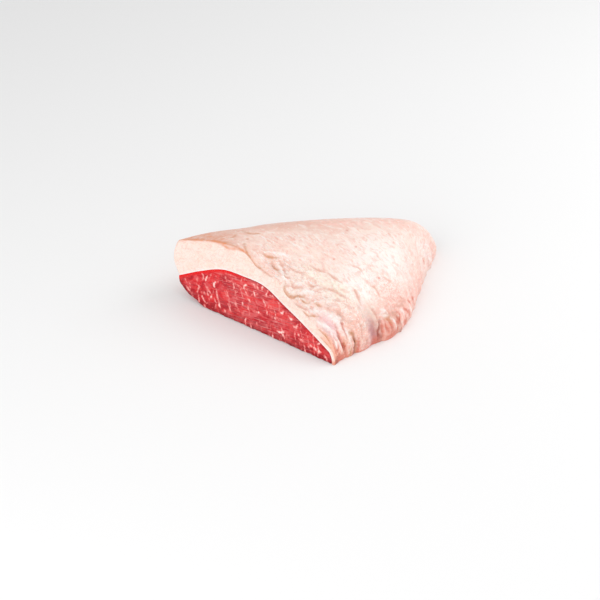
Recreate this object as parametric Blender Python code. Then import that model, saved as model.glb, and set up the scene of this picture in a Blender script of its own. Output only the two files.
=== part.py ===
"""Raw picanha: the lean of a rump cap under its layer of fat, cut straight across at the thick end.

Two solids: the lean, which rests flat on the table, and the fat cap that lies over it and wraps
down its front side and far end. X runs from the thick corner to the narrow side, Y away from the
cut face, Z up, with the origin on the table under the middle of the piece.
"""

import math

import bpy
import numpy as np

# All lengths below are in millimetres. This turns them into metres when a mesh is made.
MM = 0.001

# The piece is laid out in plan on two distances from the bottom line of the cut face:
# "along" it, from the thick corner toward the tip, and "behind" it.
CUT_BEARING = math.radians(-42.4)
CUT_LEAN = math.radians(20.0)
LEAN_FADE = 70.0
PLAN_CENTRE = (65.8, 56.4)

# Widest outline in plan, as (along, behind). The cut face closes it from the thick corner to the tip.
THICK_CORNER = (-62.5, 0.0)
TIP = (139.0, 0.0)
FAR_CORNER = (90.0, 203.0)
FRONT_BEND = (158.0, 74.0)
BACK_EDGE = (THICK_CORNER, (-53.0, 30.0), (-31.0, 66.0), (-2.0, 106.0), (27.0, 143.0), (58.0, 178.0), FAR_CORNER)
FAR_END = (FAR_CORNER, (106.0, 197.0), (114.0, 181.0), (123.0, 158.0), (137.0, 128.0), (151.0, 98.0), FRONT_BEND)
FRONT_EDGE = (TIP, (143.5, 14.0), (148.0, 32.0), (154.0, 52.0), FRONT_BEND)

# Height of the fat's rim along the cut face, and of the seam between fat and lean below it.
RIM_ALONG = (-62.0, -40.0, -12.0, 20.0, 29.0, 39.0, 50.0, 64.0, 77.0, 108.0, 128.0, 139.0)
RIM_HEIGHT = (47.5, 53.5, 60.3, 61.0, 58.3, 52.6, 50.2, 47.6, 40.2, 27.0, 16.5, 10.0)
SEAM_ALONG = (-49.0, -25.0, 0.0, 25.0, 50.0, 75.0, 100.0, 125.0, 137.0)
SEAM_HEIGHT = (19.4, 30.5, 39.5, 41.2, 40.3, 31.5, 22.3, 12.0, 7.0)

# The dome behind the cut: its crest, and how it falls to the far end and to both sides.
CREST_HEIGHT = 61.0
CREST_PLACE = 0.34
END_FALL = 24.0
END_FALL_POWER = 2.6
FRONT_FALL = 0.46
BACK_FALL = 0.10
DOME_START = 0.4

# The thickness of the fat over the dome, and how far in from the outline the lean begins.
FAT_OVER_DOME = 13.0
FAT_AT_BACK = 13.0
FAT_AT_FRONT = 11.0
FAT_AT_TIP = 2.5

# On the back side the fat ends at this height, and comes down to the table past this share
# of the length.
BACK_SEAM_HEIGHT = 19.4
BACK_SEAM_DROP = 0.7

# How far the fat's edge stands above that seam and the lean's below it, and how thick the
# lean is at its thinnest.
FAT_EDGE = 1.2
LEAN_EDGE = 3.0
LEAN_FOOT = 0.8

# How far in from the back side the lean's top rises, as a power curve, and its underside
# rounds up. The fat keeps clear of the lean by a small lift toward the far corner.
LEAN_BACK_SLOPE = 55.0
LEAN_BACK_POWER = 1.6
UNDERCUT_WIDTH = 34.0
CORNER_LIFT = 1.6
CORNER_LIFT_WIDTH = 0.35

# Radii of the rounded edges, at the cut and away from it, and how far the sides tuck in.
BACK_RADIUS_AT_CUT = 7.0
BACK_RADIUS = 34.0
BACK_RADIUS_AT_FAR_END = 25.0
FAR_CORNER_START = 0.7
FRONT_RADIUS_AT_CUT = 14.0
FRONT_RADIUS = 30.0
SEAM_RADIUS_AT_CUT = 6.0
SIDE_TUCK = 3.0

# Shares of the length behind the cut over which each edge grows to its full size.
BACK_RADIUS_GROWTH = 0.25
FRONT_RADIUS_GROWTH = 0.2
TUCK_GROWTH = 0.1
TIP_FAT_GROWTH = 0.15
CORNER_LIFT_GROWTH = 0.1

# Folds that run in from the front side: place behind the cut, half width, height, reach inward.
# A fold keeps a share of its height at the table, and has all of it a few millimetres in.
FOLDS = (
    (5.0, 5.0, 1.4, 24.0),
    (13.2, 1.9, -1.8, 20.0),
    (18.0, 3.0, 1.0, 22.0),
    (23.8, 1.8, -2.8, 10.0),
    (31.5, 6.0, 2.6, 44.0),
    (43.5, 5.4, -3.2, 30.0),
    (51.5, 1.7, -2.4, 13.0),
    (59.5, 6.6, 3.6, 18.0),
    (70.5, 3.2, -1.6, 20.0),
)
FOLD_SLANT = 0.2
FOLD_AT_TABLE = 0.45
FOLD_RISE = 3.0

# Small scallops along the far end, past the folds: two waves, the second one longer.
SCALLOP_LENGTH = 12.5
SCALLOP_UNEVENNESS = 0.62
SCALLOP_HEIGHT = 0.9
SCALLOP_REACH = 12.0
SCALLOP_START = 74.0

# Low rolls and dips where the skin is crumpled behind the rim: middle (along, behind),
# half length, half width, turn from the cut's direction in degrees, height.
CRUMPLES = (
    (44.0, 22.0, 15.0, 3.4, 8.0, 1.6),
    (47.0, 14.5, 17.0, 3.2, 4.0, -1.5),
    (72.0, 9.5, 8.0, 3.0, 20.0, 1.3),
    (83.0, 17.5, 13.0, 3.6, -6.0, 1.4),
    (88.0, 10.5, 12.0, 2.6, 2.0, -1.4),
    (106.0, 14.5, 13.0, 3.2, 8.0, 1.5),
    (104.0, 8.5, 11.0, 2.4, 4.0, -1.2),
    (112.0, 35.0, 15.0, 9.0, 12.0, 1.8),
    (124.0, 20.0, 12.0, 3.2, -4.0, -1.6),
    (20.0, 60.0, 40.0, 20.0, 35.0, 1.2),
)

GAP = 0.3

# Grid cells of the outer skin from the cut to the far end and from back to front.
# The surfaces inside and below have half as many each way. The cells grow from each steep side.
SKIN_ROWS = 54
SKIN_COLUMNS = 60
CELL_GROWTH_AT_CUT = 0.0
CELL_GROWTH_AT_FAR_END = 0.16
CELL_GROWTH_AT_BACK = 0.10
CELL_GROWTH_AT_FRONT = 0.14
OUTLINE_STEPS = 160
SHARP_EDGE_ANGLE = math.radians(50.0)


def smooth_through(places, values, at):
    """Cubic curve through the values at their places, read at other places."""
    places = np.asarray(places, float)
    values = np.asarray(values, float)
    slopes = np.gradient(values, places, axis=0)
    i = np.clip(np.searchsorted(places, at, side="right") - 1, 0, len(places) - 2)
    span = places[i + 1] - places[i]
    u = np.clip((at - places[i]) / span, 0.0, 1.0)
    if values.ndim > 1:
        span = span[..., None]
        u = u[..., None]
    start = (1 + 2 * u) * (1 - u) ** 2
    leave = u * (1 - u) ** 2 * span
    end = u * u * (3 - 2 * u)
    arrive = -u * u * (1 - u) * span
    return start * values[i] + leave * slopes[i] + end * values[i + 1] + arrive * slopes[i + 1]


def along_outline(points, at):
    """The point at a share of the length of a smooth outline."""
    points = np.array(points, float)
    steps = np.linalg.norm(np.diff(points, axis=0), axis=1)
    run = np.concatenate([[0.0], np.cumsum(steps)])
    return smooth_through(run / run[-1], points, at)


def ease(x):
    """Rises smoothly from 0 to 1."""
    x = np.clip(x, 0.0, 1.0)
    return x * x * (3 - 2 * x)


def between(start, end, share):
    return start + (end - start) * share


def quarter_round(x):
    """Height share of a rounded edge at a share of its radius in from the outline."""
    x = np.clip(x, 0.0, 1.0)
    return np.sqrt(1 - (1 - x) ** 2)


def closing_up(count, low, high):
    """Grid places from 0 to 1 that close up toward the ends, so that a steep side gets its rows."""
    v = np.linspace(0.0, 1.0, count + 1)
    near = v * v / np.maximum(v + low, 1e-9)
    far = (1 - v) ** 2 / np.maximum(1 - v + high, 1e-9)
    return near / (near + far)


def grid_places(rows, columns):
    """Patch places of a grid: s from the cut to the far end, t from the back to the front side."""
    s = closing_up(rows, CELL_GROWTH_AT_CUT, CELL_GROWTH_AT_FAR_END)
    t = closing_up(columns, CELL_GROWTH_AT_BACK, CELL_GROWTH_AT_FRONT)
    return np.meshgrid(s, t, indexing="ij")


def in_plan(s, t):
    """The plan point at a place of the patch between the four sides."""
    s = np.asarray(s)[..., None]
    t = np.asarray(t)[..., None]
    corner = np.array(THICK_CORNER)
    tip = np.array(TIP)
    across = between(along_outline(BACK_EDGE, s[..., 0]), along_outline(FRONT_EDGE, s[..., 0]), t)
    lengthwise = between(between(corner, tip, t), along_outline(FAR_END, t[..., 0]), s)
    corners = between(between(corner, tip, t), between(np.array(FAR_CORNER), np.array(FRONT_BEND), t), s)
    return across + lengthwise - corners


def inner_place(s, t):
    """Patch place of the lean's grid, which is narrower by the fat around it."""
    cut = between(np.array(THICK_CORNER), np.array(TIP), np.asarray(t)[..., None])
    width = np.linalg.norm(along_outline(FRONT_EDGE, s) - along_outline(BACK_EDGE, s), axis=-1)
    length = np.linalg.norm(along_outline(FAR_END, t) - cut, axis=-1)
    back = FAT_AT_BACK / width
    front = between(FAT_AT_TIP, FAT_AT_FRONT, ease(s / TIP_FAT_GROWTH)) / width
    return s * (1 - FAT_AT_FRONT / length), back + t * (1 - back - front)


def outer_place(s, t):
    """Patch place of the fat's outer grid."""
    return s, t


def side_lines(place):
    """The back side, and the front side with the far end, of the grid with this placing."""
    share = np.linspace(0.0, 1.0, OUTLINE_STEPS)
    one = np.ones_like(share)
    back = in_plan(*place(share, 0 * one))
    front = in_plan(*place(share, one))
    far = in_plan(*place(one, share))
    return back[::-1], np.concatenate([front, far[::-1][1:]])


def distance_to(points, line):
    """Distance from each point to a line of points, and the way in from its nearest stretch."""
    start = line[:-1]
    step = line[1:] - start
    offset = points.reshape(-1, 1, 2) - start[None]
    share = np.clip((offset * step).sum(-1) / (step * step).sum(-1), 0.0, 1.0)
    away = offset - share[..., None] * step
    distance = np.sqrt((away * away).sum(-1))
    inward = np.stack([-step[:, 1], step[:, 0]], axis=-1)
    inward /= np.linalg.norm(inward, axis=-1, keepdims=True)
    nearest = inward[distance.argmin(axis=1)]
    return distance.min(axis=1).reshape(points.shape[:-1]), nearest.reshape(points.shape)


def dome(s, t):
    """Height of the top before its edges are rounded."""
    rim = smooth_through(RIM_ALONG, RIM_HEIGHT, between(THICK_CORNER[0], TIP[0], t))
    crest = CREST_HEIGHT - END_FALL * s ** END_FALL_POWER
    to_front = np.clip((t - CREST_PLACE) / (1 - CREST_PLACE), 0.0, 1.0)
    to_back = np.clip((CREST_PLACE - t) / CREST_PLACE, 0.0, 1.0)
    body = crest * (1 - FRONT_FALL * to_front ** 2 - BACK_FALL * to_back ** 2)
    return between(rim, body, ease(s / DOME_START))


def back_seam(s):
    """Height at which the fat ends on the back side."""
    return BACK_SEAM_HEIGHT * (1 - ease((s - BACK_SEAM_DROP) / (1 - BACK_SEAM_DROP)))


def folds(plan, from_front):
    """Relief of the folds and scallops that run in from the front side and far end."""
    behind = plan[..., 1] + FOLD_SLANT * from_front
    relief = np.zeros_like(behind)
    for place, half_width, height, reach in FOLDS:
        relief += height * np.exp(-((behind - place) / half_width) ** 2) * (1 - ease(from_front / reach))
    relief *= between(FOLD_AT_TABLE, 1.0, ease(from_front / FOLD_RISE))
    past_folds = (plan[..., 1] - SCALLOP_START) / SCALLOP_LENGTH
    wave = np.cos(2 * math.pi * past_folds) + np.cos(2 * math.pi * SCALLOP_UNEVENNESS * past_folds)
    return relief + SCALLOP_HEIGHT / 2 * wave * ease(past_folds) * (1 - ease(from_front / SCALLOP_REACH))


def crumples(plan):
    """Relief of the low rolls and dips on top."""
    relief = np.zeros(plan.shape[:-1])
    for along, behind, half_length, half_width, turn, height in CRUMPLES:
        turn = math.radians(turn)
        a = plan[..., 0] - along
        b = plan[..., 1] - behind
        lengthwise = (a * math.cos(turn) + b * math.sin(turn)) / half_length
        sideways = (b * math.cos(turn) - a * math.sin(turn)) / half_width
        relief += height * np.exp(-lengthwise ** 2 - sideways ** 2)
    return relief


def grid_normals(points):
    """Unit normals of a grid of points, on its upper side."""
    normal = np.cross(np.gradient(points, axis=1), np.gradient(points, axis=0))
    if normal[..., 2].sum() < 0:
        normal = -normal
    normal[-1, -1] = normal[-2, -1] + normal[-1, -2]
    return normal / np.linalg.norm(normal, axis=-1, keepdims=True)


def move_out(points, amount):
    """Moves a grid along its normals, with its first row kept on the cut and nothing below the table."""
    moved = points + grid_normals(points) * np.asarray(amount)[..., None]
    moved[0, :, 1] = 0.0
    moved[..., 2] = np.maximum(moved[..., 2], 0.0)
    return moved


def fat_outside(s, t):
    """Outer surface of the fat, as along, behind and height, before the cut leans back."""
    plan = in_plan(s, t)
    back_line, front_line = side_lines(outer_place)
    from_back, _ = distance_to(plan, back_line)
    from_front, inward = distance_to(plan, front_line)
    near_far_end = ease((s - FAR_CORNER_START) / (1 - FAR_CORNER_START))
    full_radius = between(BACK_RADIUS, BACK_RADIUS_AT_FAR_END, near_far_end)
    back_radius = between(BACK_RADIUS_AT_CUT, full_radius, ease(s / BACK_RADIUS_GROWTH))
    front_radius = between(FRONT_RADIUS_AT_CUT, FRONT_RADIUS, ease(s / FRONT_RADIUS_GROWTH))
    back_rise = quarter_round(from_back / back_radius)
    front_rise = quarter_round(from_front / front_radius)
    seam_share = back_seam(s) / BACK_SEAM_HEIGHT
    low = (BACK_SEAM_HEIGHT + FAT_EDGE) * seam_share
    height = between(low, dome(s, t), back_rise) * front_rise
    to_lean = in_plan(*inner_place(s, 0 * t)) - in_plan(s, 0 * t)
    back_tuck = between(SIDE_TUCK / FAT_AT_BACK, 1.0, seam_share) * (1 - back_rise) ** 3
    front_tuck = SIDE_TUCK * ease(s / TUCK_GROWTH) * (1 - front_rise) ** 2
    tucked = plan + to_lean * back_tuck[..., None] + inward * front_tuck[..., None]
    surface = np.concatenate([tucked, height[..., None]], axis=-1)
    moved = move_out(surface, folds(plan, from_front) + crumples(plan) * ease(from_back / BACK_RADIUS))
    moved[-1, :, 2] = 0.0
    moved[:, -1, 2] = 0.0
    return moved


def fat_inside(s, t):
    """Surface where the fat meets the lean, as along, behind and height."""
    plan = in_plan(*inner_place(s, t))
    back_line, front_line = side_lines(inner_place)
    from_back, _ = distance_to(plan, back_line)
    from_front, _ = distance_to(plan, front_line)
    at_cut = smooth_through(SEAM_ALONG, SEAM_HEIGHT, plan[..., 0])
    under_dome = dome(*inner_place(s, t)) - FAT_OVER_DOME
    rise = 1 - (1 - np.clip(from_back / LEAN_BACK_SLOPE, 0.0, 1.0)) ** LEAN_BACK_POWER
    inside = between(back_seam(s), under_dome, rise)
    radius = between(SEAM_RADIUS_AT_CUT, FRONT_RADIUS - FAT_AT_FRONT, ease(s / FRONT_RADIUS_GROWTH))
    height = between(at_cut, inside, ease(s / DOME_START)) * quarter_round(from_front / radius)
    at_corner = ease((s - BACK_SEAM_DROP) / CORNER_LIFT_GROWTH) * (1 - ease(t / CORNER_LIFT_WIDTH))
    corner_lift = CORNER_LIFT * at_corner
    return np.concatenate([plan, np.maximum(height, corner_lift)[..., None]], axis=-1)


def lean_top(s, t):
    """Top of the lean, just under the fat."""
    surface = move_out(fat_inside(s, t), -GAP * np.ones_like(s))
    surface[..., 2] = np.maximum(surface[..., 2], LEAN_FOOT)
    return surface


def lean_underside(s, t):
    """Underside of the lean: flat on the table and rounded up toward the back side."""
    surface = lean_top(s, t)
    back_line, _ = side_lines(inner_place)
    from_back, _ = distance_to(surface[..., :2], back_line)
    from_back = np.maximum(from_back - from_back[:, :1], 0.0)
    edge = np.maximum(back_seam(s) - LEAN_EDGE, 0.0)
    surface[..., 2] = edge * (1 - np.sqrt(np.clip(from_back / UNDERCUT_WIDTH, 0.0, 1.0)))
    return surface


def placed(surface):
    """Leans the cut back, less and less with the distance behind it, and turns it to its bearing."""
    height = surface[..., 2]
    behind = surface[..., 1] + height * math.tan(CUT_LEAN) * np.exp(-surface[..., 1] / LEAN_FADE)
    along = surface[..., 0] - PLAN_CENTRE[0]
    behind = behind - PLAN_CENTRE[1]
    x = along * math.cos(CUT_BEARING) - behind * math.sin(CUT_BEARING)
    y = along * math.sin(CUT_BEARING) + behind * math.cos(CUT_BEARING)
    return np.stack([x, y, height], axis=-1)


def border(rows, columns):
    """Grid indices once round the edge of a grid."""
    loop = [(0, j) for j in range(columns)]
    loop += [(i, columns) for i in range(rows)]
    loop += [(rows, j) for j in range(columns, 0, -1)]
    loop += [(i, 0) for i in range(rows, 0, -1)]
    return loop


def closed_solid(name, upper, lower, material):
    """One closed mesh from an upper and a lower grid, the upper one as fine or twice as fine."""
    up_rows, up_columns = upper.shape[0] - 1, upper.shape[1] - 1
    low_rows, low_columns = lower.shape[0] - 1, lower.shape[1] - 1
    vertices = np.concatenate([upper.reshape(-1, 3), lower.reshape(-1, 3)]) * MM

    def up(i, j):
        return i * (up_columns + 1) + j

    def low(i, j):
        return upper.shape[0] * upper.shape[1] + i * (low_columns + 1) + j

    faces = []
    for i in range(up_rows):
        for j in range(up_columns):
            faces.append((up(i, j), up(i, j + 1), up(i + 1, j + 1), up(i + 1, j)))
    for i in range(low_rows):
        for j in range(low_columns):
            faces.append((low(i, j), low(i + 1, j + 1), low(i, j + 1)))
            faces.append((low(i, j), low(i + 1, j), low(i + 1, j + 1)))
    around = border(low_rows, low_columns)
    for (i, j), (k, m) in zip(around, around[1:] + around[:1]):
        if up_rows == low_rows:
            faces.append((up(i, j), low(i, j), low(k, m), up(k, m)))
            continue
        middle = up(i + k, j + m)
        faces.append((up(2 * i, 2 * j), low(i, j), middle))
        faces.append((middle, low(i, j), low(k, m)))
        faces.append((middle, low(k, m), up(2 * k, 2 * m)))
    mesh = bpy.data.meshes.new(name)
    mesh.from_pydata(vertices.tolist(), [], faces)
    mesh.shade_smooth()
    mesh.set_sharp_from_angle(angle=SHARP_EDGE_ANGLE)
    mesh.materials.append(material)
    solid = bpy.data.objects.new(name, mesh)
    bpy.context.scene.collection.objects.link(solid)
    return solid


def principled(name, colour, roughness):
    material = bpy.data.materials.new(name)
    material.use_nodes = True
    shader = material.node_tree.nodes["Principled BSDF"]
    shader.inputs["Base Color"].default_value = (*colour, 1.0)
    shader.inputs["Roughness"].default_value = roughness
    shader.inputs["Metallic"].default_value = 0.0
    return material


def make_fat_cap():
    """The layer of fat, which shows at the cut and runs over the whole of the lean."""
    cream = principled("cream_fat", (0.82, 0.62, 0.53), 0.42)
    outside = placed(fat_outside(*grid_places(SKIN_ROWS, SKIN_COLUMNS)))
    inside = placed(fat_inside(*grid_places(SKIN_ROWS // 2, SKIN_COLUMNS // 2)))
    closed_solid("fat_cap", outside, inside, cream)


def make_lean():
    """The red muscle under the fat."""
    red = principled("red_lean", (0.55, 0.045, 0.05), 0.35)
    places = grid_places(SKIN_ROWS // 2, SKIN_COLUMNS // 2)
    closed_solid("lean", placed(lean_top(*places)), placed(lean_underside(*places)), red)


def make_picanha():
    for old in list(bpy.data.objects):
        bpy.data.objects.remove(old)
    make_fat_cap()
    make_lean()


make_picanha()
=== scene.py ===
"""Raw picanha: the fat cap with its crumpled skin, and the lean with its marbled cut face.

Every shape is worked out on two distances from the bottom line of the cut face, in millimetres:
"along" it, from the thick corner toward the tip, and "behind" it, with the height above the table.
"""

import math

import bmesh
import bpy
import numpy as np
from mathutils import Matrix, Vector


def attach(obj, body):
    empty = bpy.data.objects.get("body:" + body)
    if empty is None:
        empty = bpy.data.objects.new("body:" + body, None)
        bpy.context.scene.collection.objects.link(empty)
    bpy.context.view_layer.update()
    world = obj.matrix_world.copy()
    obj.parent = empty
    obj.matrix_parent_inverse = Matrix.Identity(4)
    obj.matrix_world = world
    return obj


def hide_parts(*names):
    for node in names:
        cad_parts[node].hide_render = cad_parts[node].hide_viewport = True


bl_info = {
    "name": "Raw picanha",
    "version": (1, 0, 0),
    "blender": (4, 5, 0),
    "location": "View3D > Sidebar > Picanha",
    "description": "Builds a raw rump cap of beef: fat cap, marbled lean and a plain stage",
    "category": "Object",
}

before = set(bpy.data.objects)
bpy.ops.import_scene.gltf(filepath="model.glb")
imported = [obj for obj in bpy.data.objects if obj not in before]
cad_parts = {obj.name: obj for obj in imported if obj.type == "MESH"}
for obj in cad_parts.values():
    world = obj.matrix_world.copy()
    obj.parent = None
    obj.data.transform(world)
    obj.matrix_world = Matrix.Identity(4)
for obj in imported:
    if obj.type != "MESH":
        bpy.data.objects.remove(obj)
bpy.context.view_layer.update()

MM = 0.001

# Layout of the piece in plan.
CUT_BEARING = math.radians(-42.4)
CUT_LEAN = math.radians(20.0)
LEAN_FADE = 70.0
PLAN_CENTRE = (65.8, 56.4)

# Widest outline in plan, as (along, behind). The cut face closes it from the thick corner to the tip.
THICK_CORNER = (-62.5, 0.0)
TIP = (139.0, 0.0)
FAR_CORNER = (90.0, 203.0)
FRONT_BEND = (158.0, 74.0)
BACK_EDGE = (
    THICK_CORNER, (-53.0, 30.0), (-31.0, 66.0), (-2.0, 106.0), (27.0, 143.0), (58.0, 178.0), FAR_CORNER
)
FAR_END = (
    FAR_CORNER, (106.0, 197.0), (114.0, 181.0), (123.0, 158.0), (137.0, 128.0), (151.0, 98.0), FRONT_BEND
)
FRONT_EDGE = (TIP, (143.5, 14.0), (148.0, 32.0), (154.0, 52.0), FRONT_BEND)

# Height of the fat's rim along the cut face, and of the seam between fat and lean below it.
RIM_ALONG = (-62.0, -40.0, -12.0, 20.0, 29.0, 39.0, 50.0, 64.0, 77.0, 108.0, 128.0, 139.0)
RIM_HEIGHT = (47.5, 53.5, 60.3, 61.0, 58.3, 52.6, 50.2, 47.6, 40.2, 27.0, 16.5, 10.0)
SEAM_ALONG = (-49.0, -25.0, 0.0, 25.0, 50.0, 75.0, 100.0, 125.0, 137.0)
SEAM_HEIGHT = (19.4, 30.5, 39.5, 41.2, 40.3, 31.5, 22.3, 12.0, 7.0)

# The dome behind the cut: its crest, and how it falls to the far end and to both sides.
CREST_HEIGHT = 61.0
CREST_PLACE = 0.34
END_FALL = 24.0
END_FALL_POWER = 2.6
FRONT_FALL = 0.46
BACK_FALL = 0.10
DOME_START = 0.4

# The thickness of the fat over the dome, and how far in from the outline the lean begins.
FAT_OVER_DOME = 13.0
FAT_AT_BACK = 13.0
FAT_AT_FRONT = 11.0
FAT_AT_TIP = 2.5

# The seam on the back side, and the lean's rounded underside below it.
BACK_SEAM_HEIGHT = 19.4
BACK_SEAM_DROP = 0.7
FAT_EDGE = 1.2
LEAN_EDGE = 3.0
LEAN_FOOT = 0.8
LEAN_BACK_SLOPE = 55.0
LEAN_BACK_POWER = 1.6
UNDERCUT_WIDTH = 34.0
CORNER_LIFT = 1.6
CORNER_LIFT_WIDTH = 0.35

# Radii of the rounded edges, at the cut and away from it, and how far the sides tuck in.
BACK_RADIUS_AT_CUT = 7.0
BACK_RADIUS = 34.0
BACK_RADIUS_AT_FAR_END = 25.0
FAR_CORNER_START = 0.7
FRONT_RADIUS_AT_CUT = 14.0
FRONT_RADIUS = 30.0
SEAM_RADIUS_AT_CUT = 6.0
SIDE_TUCK = 3.0

# Shares of the length behind the cut over which each edge grows to its full size.
BACK_RADIUS_GROWTH = 0.25
FRONT_RADIUS_GROWTH = 0.2
TUCK_GROWTH = 0.1
TIP_FAT_GROWTH = 0.15
CORNER_LIFT_GROWTH = 0.1

# Folds that run in from the front side: place behind the cut, half width, height, reach inward.
# A fold keeps a share of its height at the table, and has all of it a few millimetres in.
FOLDS = (
    (5.0, 5.0, 1.4, 24.0),
    (13.2, 1.9, -1.8, 20.0),
    (18.0, 3.0, 1.0, 22.0),
    (23.8, 1.8, -2.8, 10.0),
    (31.5, 6.0, 2.6, 44.0),
    (43.5, 5.4, -3.2, 30.0),
    (51.5, 1.7, -2.4, 13.0),
    (59.5, 6.6, 3.6, 18.0),
    (70.5, 3.2, -1.6, 20.0),
)
FOLD_SLANT = 0.2
FOLD_AT_TABLE = 0.45
FOLD_RISE = 3.0

# Scallops along the far end, past the folds.
SCALLOP_LENGTH = 12.5
SCALLOP_UNEVENNESS = 0.62
SCALLOP_HEIGHT = 0.9
SCALLOP_REACH = 12.0
SCALLOP_START = 74.0

# Low rolls and dips where the skin is crumpled behind the rim: middle (along, behind),
# half length, half width, turn from the cut's direction in degrees, height.
CRUMPLES = (
    (44.0, 22.0, 15.0, 3.4, 8.0, 1.6),
    (47.0, 14.5, 17.0, 3.2, 4.0, -1.5),
    (72.0, 9.5, 8.0, 3.0, 20.0, 1.3),
    (83.0, 17.5, 13.0, 3.6, -6.0, 1.4),
    (88.0, 10.5, 12.0, 2.6, 2.0, -1.4),
    (106.0, 14.5, 13.0, 3.2, 8.0, 1.5),
    (104.0, 8.5, 11.0, 2.4, 4.0, -1.2),
    (112.0, 35.0, 15.0, 9.0, 12.0, 1.8),
    (124.0, 20.0, 12.0, 3.2, -4.0, -1.6),
    (20.0, 60.0, 40.0, 20.0, 35.0, 1.2),
)

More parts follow.
